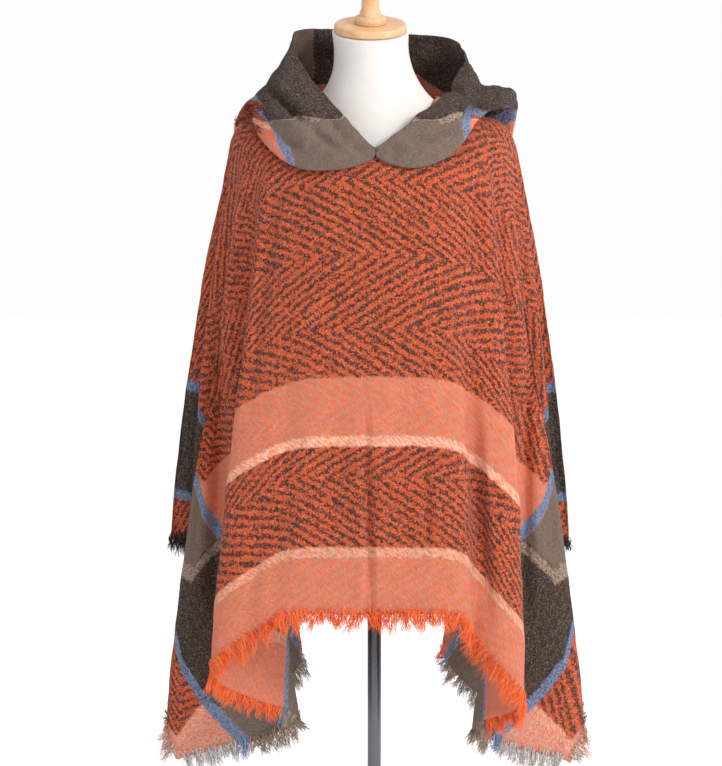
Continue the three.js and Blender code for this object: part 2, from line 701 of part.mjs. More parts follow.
function finialGeometry() {
  const f = FINIAL;
  const base = CAP.height + STEP_GAP;
  const ballCentre = base + f.height - f.ball;
  const neckAngle = -THREE.MathUtils.radToDeg(Math.acos(f.stem / f.ball));
  return lathe([
    [0, base],
    [f.flange, base],
    ...arc(f.flange - f.lip, base + f.lipHeight, f.lip, 0, 90, 2),
    [f.step, base + f.stepHeight],
    [f.foot, base + f.footHeight],
    [f.stem, base + f.stemHeight],
    ...arc(0, ballCentre, f.ball, neckAngle, f.topAngle, 5),
    [0, ballCentre + f.ball],
  ], TURNED_SEGMENTS);
}

function poleGeometry(from, to) {
  const geometry = new THREE.CylinderGeometry(POLE_RADIUS, POLE_RADIUS, to - from, POLE_SEGMENTS);
  geometry.rotateX(Math.PI / 2);
  geometry.translate(0, 0, (from + to) / 2);
  return geometry;
}

function baseGeometry() {
  const { radius, height, round } = BASE;
  return lathe([
    [0, 0],
    [radius, 0],
    ...arc(radius - round, height - round, round, 0, 90, 2),
    [0, height],
  ], BASE_SEGMENTS);
}

const poncho = new THREE.Group();

function add(name, geometry, colour, roughness, metalness = 0) {
  const material = new THREE.MeshStandardMaterial({ color: colour, roughness, metalness });
  const mesh = new THREE.Mesh(geometry, material);
  mesh.name = name;
  poncho.add(mesh);
  return mesh;
}

add('front_panel', panel(true), COLOURS.orange, 0.95);
add('back_panel', panel(false), COLOURS.orange, 0.95);
add('hood_left', hoodHalf(HEMS.left, LEFT_HOOD), COLOURS.taupe, 0.95);
add('hood_right', hoodHalf(HEMS.right, RIGHT_HOOD), COLOURS.taupe, 0.95);

add('fringe_front', fringe([
  { hem: HEMS.left, from: CORNER - FRINGE_EDGE, to: 0 },
  { hem: HEMS.right, from: 0, to: CORNER - FRINGE_EDGE },
], 1), COLOURS.fringe, 0.95);
add('fringe_right', fringe([
  { hem: HEMS.right, from: CORNER + FRINGE_EDGE, to: 180 - CORNER - FRINGE_EDGE },
], 2), COLOURS.taupe, 0.95);
add('fringe_back', fringe([
  { hem: HEMS.right, from: 180 - CORNER + FRINGE_EDGE, to: 180 },
  { hem: HEMS.left, from: 180, to: 180 - CORNER + FRINGE_EDGE },
], 3), COLOURS.fringe, 0.95);
add('fringe_left', fringe([
  { hem: HEMS.left, from: 180 - CORNER - FRINGE_EDGE, to: CORNER + FRINGE_EDGE },
], 4), COLOURS.taupe, 0.95);

const torsoBottom = FORM_TORSO[FORM_TORSO.length - 1].z;
add('form_torso', formTorso(), COLOURS.jersey, 0.9);
const neckTop = new THREE.Group();
neckTop.position.set(FORM_NECK[0].shift, 0, FORM_NECK[0].z + STEP_GAP);
neckTop.rotation.x = radians(NECK_TILT);
poncho.add(neckTop);
const cap = add('neck_cap', capGeometry(), COLOURS.wood, 0.5);
const finial = add('finial', finialGeometry(), COLOURS.wood, 0.5);
neckTop.add(cap, finial);
add('pole', poleGeometry(BASE.height + STEP_GAP, torsoBottom - STEP_GAP), COLOURS.steel, 0.3, 1);
add('base_plate', baseGeometry(), COLOURS.steel, 0.35, 1);

export default poncho;
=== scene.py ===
"""Hooded blanket poncho in woven check cloth, draped over a dress form on a round steel stand.

Sizes are in millimetres and turned to metres where a mesh is made. The blanket's own coordinates are
across, from the centre line, and along, from the middle of the neck hole towards the front or back hem.
"""

import logging
import math
from dataclasses import dataclass
from enum import Enum
from typing import Any, Sequence, Union

import bpy
import numpy as np
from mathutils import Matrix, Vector


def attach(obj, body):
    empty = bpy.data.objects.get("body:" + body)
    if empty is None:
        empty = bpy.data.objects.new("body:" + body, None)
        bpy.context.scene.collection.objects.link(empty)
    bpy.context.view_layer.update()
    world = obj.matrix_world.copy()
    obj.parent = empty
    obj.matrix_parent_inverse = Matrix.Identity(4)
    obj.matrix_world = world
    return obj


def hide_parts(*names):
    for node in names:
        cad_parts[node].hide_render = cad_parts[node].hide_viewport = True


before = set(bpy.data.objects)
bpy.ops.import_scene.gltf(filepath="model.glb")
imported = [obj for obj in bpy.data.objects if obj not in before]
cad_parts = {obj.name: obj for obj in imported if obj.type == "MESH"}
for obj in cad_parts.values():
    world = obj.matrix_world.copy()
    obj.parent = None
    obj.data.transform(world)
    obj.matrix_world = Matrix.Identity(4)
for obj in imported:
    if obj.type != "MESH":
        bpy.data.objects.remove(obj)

LOG = logging.getLogger("poncho")
MM = 0.001
Array = np.ndarray


def unit(vectors: Array) -> Array:
    """Vectors scaled to length one along the last axis."""
    return vectors / np.maximum(np.linalg.norm(vectors, axis=-1, keepdims=True), 1e-9)


def smooth_step(low: float, high: float, values: Array) -> Array:
    """0 below low, 1 above high and an even turn between them."""
    share = np.clip((values - low) / (high - low), 0.0, 1.0)
    return share * share * (3.0 - 2.0 * share)


class MonotoneCubic:
    """Cubic interpolation through knots that never overshoots them."""

    def __init__(self, knots: Sequence[float], values: Sequence[float]) -> None:
        """Prepares the tangents.

        Args:
            knots: increasing places.
            values: the value at each place.
        """
        self.knots = np.array(knots, float)
        self.values = np.array(values, float)
        slope = np.diff(self.values) / np.diff(self.knots)
        before, after = slope[:-1], slope[1:]
        total = np.where(np.abs(before + after) < 1e-12, 1.0, before + after)
        inner = np.where(before * after <= 0, 0.0, 2.0 * before * after / total)
        self.tangents = np.concatenate([slope[:1], inner, slope[-1:]])

    def __call__(self, at: Array) -> Array:
        """Value of the curve.

        Args:
            at: places, held within the first and last knot.

        Returns:
            One value for each place.
        """
        i = np.clip(np.searchsorted(self.knots, at, side="left") - 1, 0, len(self.knots) - 2)
        span = self.knots[i + 1] - self.knots[i]
        u = np.clip((at - self.knots[i]) / span, 0.0, 1.0)
        w = 1.0 - u
        return (
            self.values[i] * w * w * (1 + 2 * u)
            + self.values[i + 1] * u * u * (3 - 2 * u)
            + self.tangents[i] * span * u * w * w
            - self.tangents[i + 1] * span * u * u * w
        )


@dataclass(frozen=True)
class Ring:
    """A level oval of the drape: half-width, half-depths and the heights of its side, front and back."""

    side: float
    front: float
    back: float
    side_z: float = 0.0
    front_z: float = 0.0
    back_z: float = 0.0

    def plan(self, turn: Array, side: Union[float, None] = None) -> Array:
        """Place in plan on the oval, with x positive towards the side."""
        depth = np.where(np.cos(turn) > 0, self.front, self.back)
        width = self.side if side is None else side
        return np.stack([width * np.sin(turn), -depth * np.cos(turn)], -1)

    def height(self, turn: Array, power: float) -> Array:
        """Height on the ring, which rises from its front or back to its side."""
        low = np.where(np.cos(turn) > 0, self.front_z, self.back_z)
        return low + (self.side_z - low) * np.abs(np.sin(turn)) ** power


@dataclass(frozen=True)
class HemStation:
    """A place on the lower edge: flat angle, place in plan and the length that folds take up."""

    flat: float
    x: float
    y: float
    take: float = 0.0


@dataclass(frozen=True)
class HoodStation:
    """A section of a hood half: reach of its roll, lift of roll and puff, and place of its face edge."""

    flat: float
    reach: float
    roll: float
    puff: float
    x: float
    y: float
    z: float


HALF_LENGTH = 837.0
HALF_WIDTH = 905.0
CORNER = math.degrees(math.atan2(HALF_WIDTH, HALF_LENGTH))
BACK_CORNER = 180.0 - CORNER

LEFT_HEM = [
    HemStation(*row)
    for row in (
        (0, 0, -204), (14, 128, -203), (26, 188, -200), (32, 236, -193), (34.5, 252, -179),
        (36.5, 240, -156), (39, 194, -120, 2), (41.3, 138, -84, 5), (42.8, 119, -64, 6),
        (44.8, 186, -52, 6), (CORNER, 318, -42, 8), (49.5, 336, -33, 10), (53, 310, -20, 10),
        (57, 216, -8, 8), (60, 192, 0, 6), (63.5, 228, 8, 4), (68, 290, 17, 2), (71, 300, 22),
        (74, 272, 27), (78, 206, 34), (80.5, 192, 38), (83.5, 234, 43), (87.5, 320, 50), (90, 334, 54),
        (93, 320, 59), (98, 228, 68), (101, 196, 75, 2), (104, 216, 82, 4), (109, 286, 91, 8),
        (112, 300, 96, 10), (115, 276, 101, 12), (119, 210, 108, 12), (122, 196, 113, 12),
        (125, 236, 117, 12), (129.5, 304, 121, 12), (BACK_CORNER, 288, 127, 12), (136, 166, 136, 12),
        (139, 122, 147, 12), (143, 152, 163, 10), (148, 222, 184, 6), (152, 244, 199), (157, 222, 211),
        (163, 156, 214), (169, 96, 206), (174, 48, 212), (180, 0, 222),
    )
]
RIGHT_HEM = [
    HemStation(*row)
    for row in (
        (0, 0, -204), (12, 112, -203), (20, 141, -196), (26, 152, -174), (30, 168, -185),
        (34, 196, -197), (37, 220, -191), (38.6, 230, -172), (40.2, 212, -138, 2), (41.8, 176, -98, 5),
        (43, 157, -72, 6), (45, 206, -57, 6), (CORNER, 316, -44, 8), (50, 338, -33, 10),
        (54, 306, -20, 10), (58, 212, -9, 8), (61, 190, -1, 6), (64.5, 222, 7, 4), (69, 284, 17, 2),
        (72.5, 296, 23), (76, 262, 28), (79.5, 204, 34), (82, 192, 38), (85, 240, 44), (88, 306, 50),
        (90, 320, 54), (93.5, 300, 60), (98.5, 222, 69), (102, 192, 77, 2), (105.5, 218, 84, 4),
        (110, 280, 93, 8), (113, 292, 98, 10), (116.5, 266, 104, 12), (120.5, 206, 110, 12),
        (123.5, 194, 115, 12), (126.5, 232, 119, 12), (130, 300, 123, 12), (BACK_CORNER, 286, 128, 12),
        (136.5, 160, 139, 12), (140, 118, 151, 12), (145, 164, 172, 8), (150, 224, 193, 2),
        (154, 238, 205), (160, 196, 215), (166, 120, 212), (172, 62, 204), (176, 30, 214), (180, 0, 222),
    )
]
LEFT_HOOD = [
    HoodStation(*row)
    for row in (
        (0, 15, 5, 9, 0, -121, 1291), (6, 38, 6, 14, 13, -118, 1301), (13, 62, 8, 21, 27, -112, 1316),
        (23, 91, 9, 27, 50, -97, 1343), (33, 102, 10, 31, 72, -76, 1366), (46, 106, 11, 36, 92, -50, 1391),
        (62, 99, 15, 46, 110, -20, 1416), (80, 88, 20, 54, 129, 18, 1449), (105, 96, 22, 54, 127, 62, 1477),
        (130, 168, 20, 45, 98, 92, 1485), (155, 262, 16, 46, 52, 108, 1484), (180, 300, 14, 46, 0, 112, 1480),
    )
]
RIGHT_HOOD = [
    HoodStation(*row)
    for row in (
        (0, 15, 5, 9, 0, -121, 1291), (6, 36, 6, 13, 14, -118, 1300), (13, 56, 7, 19, 28, -114, 1311),
        (23, 71, 8, 24, 52, -98, 1327), (33, 76, 9, 27, 74, -78, 1344), (46, 75, 12, 30, 94, -52, 1360),
        (60, 86, 18, 31, 112, -24, 1379), (75, 110, 28, 40, 126, 8, 1402), (90, 117, 30, 44, 144, 40, 1428),
        (108, 124, 26, 44, 140, 68, 1456), (125, 152, 18, 42, 120, 88, 1470),
        (143, 215, 18, 45, 86, 103, 1475), (162, 280, 16, 46, 46, 110, 1478),
        (180, 300, 14, 46, 0, 112, 1480),
    )
]

# Flat place, across and along, that the cloth shows at the hem of each flat angle
SHOWN_SIDES = (
    (68, 905, 403), (71, 905, 384), (74, 905, 347), (78, 905, 277), (81, 905, 209), (84, 905, 135),
    (87.5, 905, 24), (90, 905, 0), (93, 905, -24), (98, 905, -108), (101, 905, -178), (104, 905, -233),
    (109, 905, -318), (112, 905, -343), (115, 905, -363), (119, 905, -448), (122, 905, -533),
    (125, 905, -608), (129.5, 905, -758), (BACK_CORNER, 905, -837), (136, 744, -837), (140, 612, -837),
    (144, 352, -837), (152, 246, -837), (157, 218, -837), (167, 129, -837), (180, 0, -837),
)
SHOWN_LEFT = (
    (0, 0, 837), (14, 129, 837), (26, 193, 837), (32, 247, 837), (34.5, 285, 837), (37, 418, 837),
    (39, 538, 837), (41.3, 660, 837), (42.8, 735, 837), (44.8, 812, 830), (46, 872, 795), (CORNER, 930, 759),
    (49.5, 945, 740), (53, 935, 705), (57, 905, 632), (60, 905, 554), (63.5, 905, 481), *SHOWN_SIDES,
)
SHOWN_RIGHT = (
    (0, 0, 837), (12, 112, 837), (20, 142, 837), (26, 165, 837), (30, 183, 837), (34, 215, 837),
    (37, 241, 837), (38.6, 262, 837), (40.2, 420, 837), (41.8, 640, 837), (43, 760, 837), (45, 846, 814),
    (45.8, 880, 790), (CORNER, 939, 757), (50, 958, 738), (54, 940, 700), (58, 905, 612), (61, 905, 547),
    (64.5, 905, 477), *SHOWN_SIDES,
)


@dataclass
class BlanketSide:
    """One side of the draped blanket: where a point of the flat cloth lies on the form."""

    side: int
    hem: list[HemStation]
    shown: Sequence[tuple[float, float, float]]
    width: float
    neck: Ring = Ring(95, 104, 84, 1371, 1288, 1388)
    neck_cut_front: float = 122.0
    neck_cut: float = 92.0
    shoulder: Ring = Ring(0, 132, 138, 1331, 1255, 1290)
    flare: Ring = Ring(306, 205, 220)
    neck_power: float = 2.0
    shoulder_power: float = 3.0
    shoulder_spread: float = 13.0
    shoulder_bend: float = 34.0
    most_of_slope: float = 0.8
    flare_power: float = 1.65
    fold_power: float = 1.25
    flat_shoulder: tuple[float, float, float] = (224.0, 165.0, 204.0)
    corner_bow: float = 28.0

    def __post_init__(self) -> None:
        """Prepares the curves through the tables."""
        flats = [row.flat for row in self.hem]
        self.x = MonotoneCubic(flats, [row.x for row in self.hem])
        self.y = MonotoneCubic(flats, [row.y for row in self.hem])
        self.take = MonotoneCubic(flats, [row.take for row in self.hem])
        angles, across, along = zip(*self.shown)
        self.hem_across = MonotoneCubic(angles, across)
        self.hem_along = MonotoneCubic(angles, along)

    def flat_reach(self, flat: Array) -> Array:
        """Flat distance from the middle of the neck hole to the blanket's edge."""
        a = np.radians(flat)
        return 1.0 / np.maximum(np.abs(np.cos(a)) / HALF_LENGTH, np.abs(np.sin(a)) / HALF_WIDTH)

    def flat_neck(self, flat: Array) -> Array:
        """Flat distance from the middle of the neck hole to the neckline."""
        a = np.radians(flat)
        ahead = np.where(flat < 90, self.neck_cut_front, self.neck_cut)
        return 1.0 / np.hypot(np.cos(a) / ahead, np.sin(a) / self.neck_cut)

    def columns(self, flat: Array) -> dict[str, Array]:
        """Fixed points and lengths of the columns at some flat angles."""
        turn = np.radians(flat + self.shoulder_spread * np.sin(np.radians(2 * flat)))
        neck = np.concatenate([self.neck.plan(turn), self.neck.height(turn, self.neck_power)[..., None]], -1)
        plan = self.shoulder.plan(turn, self.width)
        height = self.shoulder.height(turn, self.shoulder_power)
        shoulder = np.concatenate([plan, height[..., None]], -1)
        foot = np.stack([self.x(flat), self.y(flat)], -1)
        slope_run = np.linalg.norm(neck - shoulder, axis=-1)
        fall_run = self.flat_reach(flat) - self.flat_neck(flat) - slope_run - self.take(flat)
        across = np.linalg.norm(foot - plan, axis=-1)
        return {
            "neck": neck,
            "shoulder": shoulder,
            "flare": self.flare.plan(turn),
            "foot": foot,
            "slope_run": slope_run,
            "fall_run": fall_run,
            "drop": np.sqrt(fall_run**2 - across**2),
            "bend": np.minimum(self.shoulder_bend, slope_run * self.most_of_slope),
            "length": slope_run + fall_run,
        }

    def falling(self, col: dict[str, Array], share: Array) -> Array:
        """Points on the hanging part, at a share of its length."""
        spread = (1 - (1 - share) ** self.flare_power)[..., None]
        fold = (share**self.fold_power)[..., None]
        plan = col["shoulder"][..., :2] * (1 - spread) + col["flare"] * (spread - fold) + col["foot"] * fold
        height = col["shoulder"][..., 2] - col["drop"] * share
        return np.concatenate([plan, height[..., None]], -1)

    def point(self, flat: Array, run: Array) -> Array:
        """Places on the form of points of the cloth.

        Args:
            flat: flat angles in degrees.
            run: distances from the neckline, of the same shape.

        Returns:
            Points in millimetres, with a last axis of three.
        """
        col = self.columns(flat)
        slope, bend, fall = col["slope_run"], col["bend"], col["fall_run"]
        straight = col["neck"] + (col["shoulder"] - col["neck"]) * (run / slope)[..., None]
        hanging = self.falling(col, np.clip((run - slope) / fall, 0, 1))
        u = np.clip((run - slope + bend) / (2 * bend), 0, 1)[..., None]
        start = col["neck"] + (col["shoulder"] - col["neck"]) * (1 - bend / slope)[..., None]
        end = self.falling(col, bend / fall)
        turned = start * (1 - u) ** 2 + col["shoulder"] * 2 * u * (1 - u) + end * u * u
        low = (run <= slope - bend)[..., None]
        high = (run >= slope + bend)[..., None]
        return np.where(low, straight, np.where(high, hanging, turned)) * np.array([self.side, 1.0, 1.0])

    def length(self, flat: Array) -> Array:
        """Length of the columns from neckline to hem."""
        return self.columns(flat)["length"]

    def frames(self, flat: Array, run: Array) -> tuple[Array, Array]:
        """Points and outward normals of the cloth."""
        turn, step = 0.05, 1.5
        col = self.columns(flat)
        ratio = run / col["length"]
        low, high = np.maximum(0, flat - turn), np.minimum(180, flat + turn)
        fixed = run < col["slope_run"] + col["bend"]
        after = self.point(high, np.where(fixed, run, ratio * self.length(high)))
        before = self.point(low, np.where(fixed, run, ratio * self.length(low)))
        along = after - before
        middle = ((low == 0) | (high == 180))[..., None]
        along = np.where(middle, along * np.array([1.0, 0.0, 0.0]), along)
        lower = self.point(flat, np.minimum(col["length"], run + step))
        down = lower - self.point(flat, np.maximum(0, run - step))
        return self.point(flat, run), unit(np.cross(down, along)) * self.side

    def blanket(self, flat: Array, run: Array) -> Array:
        """Across and along coordinates on the flat blanket, for the woven pattern.

        Args:
            flat: flat angles in degrees.
            run: distances from the neckline.

        Returns:
            Across, along and a zero, in millimetres.
        """
        col = self.columns(flat)
        turn = np.radians(flat + self.shoulder_spread * np.sin(np.radians(2 * flat)))
        ahead = np.cos(turn) > 0
        neck = np.stack([
            self.neck_cut * np.sin(turn), np.where(ahead, self.neck_cut_front, self.neck_cut) * np.cos(turn),
        ], -1)
        shoulder = np.stack([
            self.flat_shoulder[0] * np.sin(turn), np.where(ahead, *self.flat_shoulder[1:]) * np.cos(turn),
        ], -1)
        hem = np.stack([self.hem_across(flat), self.hem_along(flat)], -1)
        above = np.clip(run / col["slope_run"], 0, 1)[..., None]
        below = np.clip((run - col["slope_run"]) / col["fall_run"], 0, 1)[..., None]
        bow = np.exp(-(((flat - CORNER) / 5) ** 2))[..., None] * 4 * below * (1 - below) * self.corner_bow
        place = neck + (shoulder - neck) * above + (hem - shoulder) * below + bow
        return np.stack([place[..., 0] * self.side, place[..., 1], np.zeros_like(run)], -1)


LEFT = BlanketSide(-1, LEFT_HEM, SHOWN_LEFT, 221.0)
RIGHT = BlanketSide(1, RIGHT_HEM, SHOWN_RIGHT, 216.0)


def build_object(
    name: str, points: Array, faces: Array, blanket: Union[Array, None] = None
) -> bpy.types.Object:
    """A smooth mesh object.

    Args:
        name: the piece's name.
        points: vertices in millimetres.
        faces: vertex numbers, three or four to a face.
        blanket: pattern coordinates of the vertices, kept as an attribute.

    Returns:
        The object, linked to the scene.
    """
    mesh = bpy.data.meshes.new(name)
    count, sides = faces.shape
    mesh.vertices.add(len(points))
    mesh.vertices.foreach_set("co", (points * MM).astype(np.float32).ravel())
    mesh.loops.add(count * sides)
    mesh.loops.foreach_set("vertex_index", faces.astype(np.int32).ravel())
    mesh.polygons.add(count)
    mesh.polygons.foreach_set("loop_start", np.arange(0, count * sides, sides, dtype=np.int32))
    mesh.polygons.foreach_set("use_smooth", np.ones(count, bool))
    mesh.update(calc_edges=True)
    if blanket is not None:
        layer = mesh.attributes.new("blanket", "FLOAT_VECTOR", "POINT")
        layer.data.foreach_set("vector", blanket.astype(np.float32).ravel())
    piece = bpy.data.objects.new(name, mesh)
    bpy.context.scene.collection.objects.link(piece)
    return piece


def dress(piece: bpy.types.Object, material: bpy.types.Material, slot: str, *nodes: str) -> None:
    """Gives a piece its material, its body and the nodes that it stands for."""
    piece.data.materials.append(material)
    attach(piece, "root")
    if nodes:
        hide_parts(*nodes)
    LOG.info("%s: %d vertices", piece.name, len(piece.data.vertices))


def closed_shell(outer: Array, inner: Array) -> tuple[Array, Array]:
    """Closed thin wall between two grids.

    Args:
        outer: grid of points, [row, place, 3].
        inner: the same grid, moved in by the wall.

    Returns:
        Points and four-sided faces.
    """
    rows, places = outer.shape[:2]
    number = np.arange(2 * rows * places).reshape(2, rows, places)
    front, back = number
    faces = [
        np.stack([front[:-1, :-1], front[:-1, 1:], front[1:, 1:], front[1:, :-1]], -1).reshape(-1, 4),
        np.stack([back[:-1, :-1], back[1:, :-1], back[1:, 1:], back[:-1, 1:]], -1).reshape(-1, 4),
    ]
    rims = (
        (front[:, 0], back[:, 0]), (back[:, -1], front[:, -1]), (back[0], front[0]), (front[-1], back[-1]),
    )
    for edge, other in rims:
        faces.append(np.stack([edge[:-1], edge[1:], other[1:], other[:-1]], -1))
    return np.concatenate([outer.reshape(-1, 3), inner.reshape(-1, 3)]), np.concatenate(faces)


def grid_normals(grid: Array) -> Array:
    """Unit normals of a grid whose rows run down and whose places run to the viewer's right."""
    return unit(np.cross(np.gradient(grid, axis=0), np.gradient(grid, axis=1)))


FRONT = (0.0, -1.0)
BACK = (0.0, 1.0)
LEFT_SIDE = (-1.0, 0.0)
RIGHT_SIDE = (1.0, 0.0)


@dataclass(frozen=True)
class Crease:
    """A soft trough, or a ridge where its depth is negative, along a line seen from one direction."""

    start: tuple[float, float]
    end: tuple[float, float]
    width: float
    depth: float
    towards: tuple[float, float] = FRONT
    nearest: float = 1000.0

    def depth_at(self, points: Array, normals: Array) -> Array:
        """How far the crease draws the cloth in at each point, where the cloth faces the viewer."""
        view = np.array([self.towards[0], self.towards[1], 0.0])
        right = np.array([-self.towards[1], self.towards[0], 0.0])
        place = np.stack([points @ right, points[..., 2]], -1)
        start, end = np.array(self.start), np.array(self.end)
        line = end - start
        share = np.clip(((place - start) @ line) / (line @ line), 0, 1)
        nearest = start + share[..., None] * line
        off = np.linalg.norm(place - nearest, axis=-1) / self.width
        fade = np.sin(np.pi * np.clip(share, 0.02, 0.98)) ** 0.6
        facing = smooth_step(-0.05, 0.35, normals @ view) * (points @ view < self.nearest)
        return self.depth * np.exp(-off * off) * fade * facing


# Main creases: the two ends in the view named last, as millimetres to the right and up
CREASES = (
    Crease((-14, 905), (-6, 560), 5.5, 11.0),
    Crease((-26, 860), (-22, 600), 9, -2.5),
    Crease((76, 830), (82, 690), 6, 7.5),
    Crease((88, 800), (86, 660), 6, -3.5),
    Crease((-60, 930), (-70, 660), 24, 6.0),
    Crease((-128, 960), (-156, 560), 18, 6.0),
    Crease((-176, 760), (-198, 520), 13, 5.0),
    Crease((40, 960), (46, 620), 22, 4.5),
    Crease((140, 1000), (172, 590), 10, 13.0),
    Crease((166, 900), (188, 560), 10, -5.0),
    Crease((-150, 1250), (-178, 1040), 13, 9.0),
    Crease((-172, 1080), (-196, 880), 10, 6.0),
    Crease((-110, 1260), (-140, 1090), 20, 4.0),
    Crease((150, 1250), (168, 1060), 12, 6.0),
    Crease((60, 1250), (20, 1130), 24, 4.0),
    Crease((-40, 1240), (-6, 1110), 22, 3.6),
    Crease((-100, 1120), (-20, 1010), 28, 3.4),
    Crease((120, 1120), (50, 1000), 26, 3.4),
    Crease((-242, 960), (-256, 560), 14, 26.0, nearest=120.0),
    Crease((-262, 900), (-292, 620), 14, 7.0, nearest=120.0),
    Crease((-246, 1080), (-268, 820), 16, 5.0),
    Crease((240, 960), (238, 560), 10, 14.0, nearest=120.0),
    Crease((232, 1130), (262, 860), 16, 5.5),
    Crease((262, 860), (290, 560), 18, 6.0, nearest=120.0),
    Crease((-20, 1020), (10, 640), 20, 6.0, BACK),
    Crease((-110, 1080), (-150, 660), 22, 7.0, BACK),
    Crease((120, 1080), (160, 640), 20, 7.0, BACK),
    Crease((60, 900), (76, 600), 14, 5.0, BACK),
    Crease((-64, 880), (-84, 600), 12, 5.0, BACK),
    Crease((-150, 1210), (-176, 1030), 16, 6.0, BACK),
    Crease((150, 1210), (180, 1020), 16, 6.0, BACK),
    Crease((-30, 1180), (-56, 700), 18, 6.0, LEFT_SIDE),
    Crease((40, 1160), (70, 760), 16, 6.0, LEFT_SIDE),
    Crease((-60, 1170), (-44, 760), 16, 6.0, RIGHT_SIDE),
    Crease((30, 1180), (50, 700), 18, 6.0, RIGHT_SIDE),
)
HOOD_CREASES = (
    Crease((-174, 1392), (-108, 1330), 8, 19.0),
    Crease((-166, 1350), (-96, 1312), 9, -10.0),
    Crease((-104, 1324), (-52, 1286), 8, 10.0),
    Crease((-78, 1344), (-40, 1300), 8, 7.5),
    Crease((-132, 1410), (-96, 1366), 8, -6.0),
    Crease((-150, 1304), (-106, 1290), 9, 9.0),
    Crease((-34, 1296), (-10, 1276), 8, 4.0),
    Crease((112, 1358), (184, 1350), 8, 16.0),
    Crease((36, 1328), (112, 1344), 9, -9.0),
    Crease((50, 1304), (128, 1320), 8, 8.0),
    Crease((96, 1400), (140, 1376), 8, 6.0),
    Crease((150, 1392), (176, 1368), 9, 5.0),
    Crease((14, 1296), (46, 1286), 8, 4.0),
    Crease((-120, 1330), (-60, 1180), 18, 7.0, BACK),
    Crease((120, 1330), (60, 1180), 18, 7.0, BACK),
    Crease((-10, 1420), (16, 1250), 20, 6.0, BACK),
    Crease((-60, 1400), (-40, 1230), 14, -5.0, BACK),
    Crease((64, 1400), (44, 1240), 14, -5.0, BACK),
    Crease((-60, 1400), (20, 1330), 12, 6.0, LEFT_SIDE),
    Crease((-20, 1400), (70, 1330), 12, 6.0, RIGHT_SIDE),
)


@dataclass(frozen=True)
class Unevenness:
    """Slow waves of a hand-hung cloth, as sums of a few sines in its own seed."""

    height: float
    wave: float
    seed: int

    def at(self, points: Array) -> Array:
        """Displacement at points, in millimetres."""
        random = np.random.default_rng(self.seed)
        total = np.zeros(points.shape[:-1])
        for _ in range(7):
            direction = unit(random.normal(size=3)) * (2 * np.pi / (self.wave * random.uniform(0.7, 1.6)))
            total += np.sin(points @ direction + random.uniform(0, 2 * np.pi))
        return self.height * total / 3.0


class Sig:
    """A value carried by a node socket that takes part in Python arithmetic."""

    def __init__(self, graph: "Graph", socket: Any) -> None:
        """Wraps a socket of a graph."""
        self.graph = graph
        self.socket = socket

    def __add__(self, other: Any) -> "Sig":
        """Sum."""
        return self.graph.maths("ADD", self, other)

    def __sub__(self, other: Any) -> "Sig":
        """Difference."""
        return self.graph.maths("SUBTRACT", self, other)

    def __rsub__(self, other: Any) -> "Sig":
        """Difference from a number."""
        return self.graph.maths("SUBTRACT", other, self)

    def __mul__(self, other: Any) -> "Sig":
        """Product."""
        return self.graph.maths("MULTIPLY", self, other)

    def __truediv__(self, other: Any) -> "Sig":
        """Quotient."""
        return self.graph.maths("DIVIDE", self, other)

    def __abs__(self) -> "Sig":
        """Size without its sign."""
        return self.graph.maths("ABSOLUTE", self)

    __radd__ = __add__
    __rmul__ = __mul__


Value = Union[Sig, float, tuple]


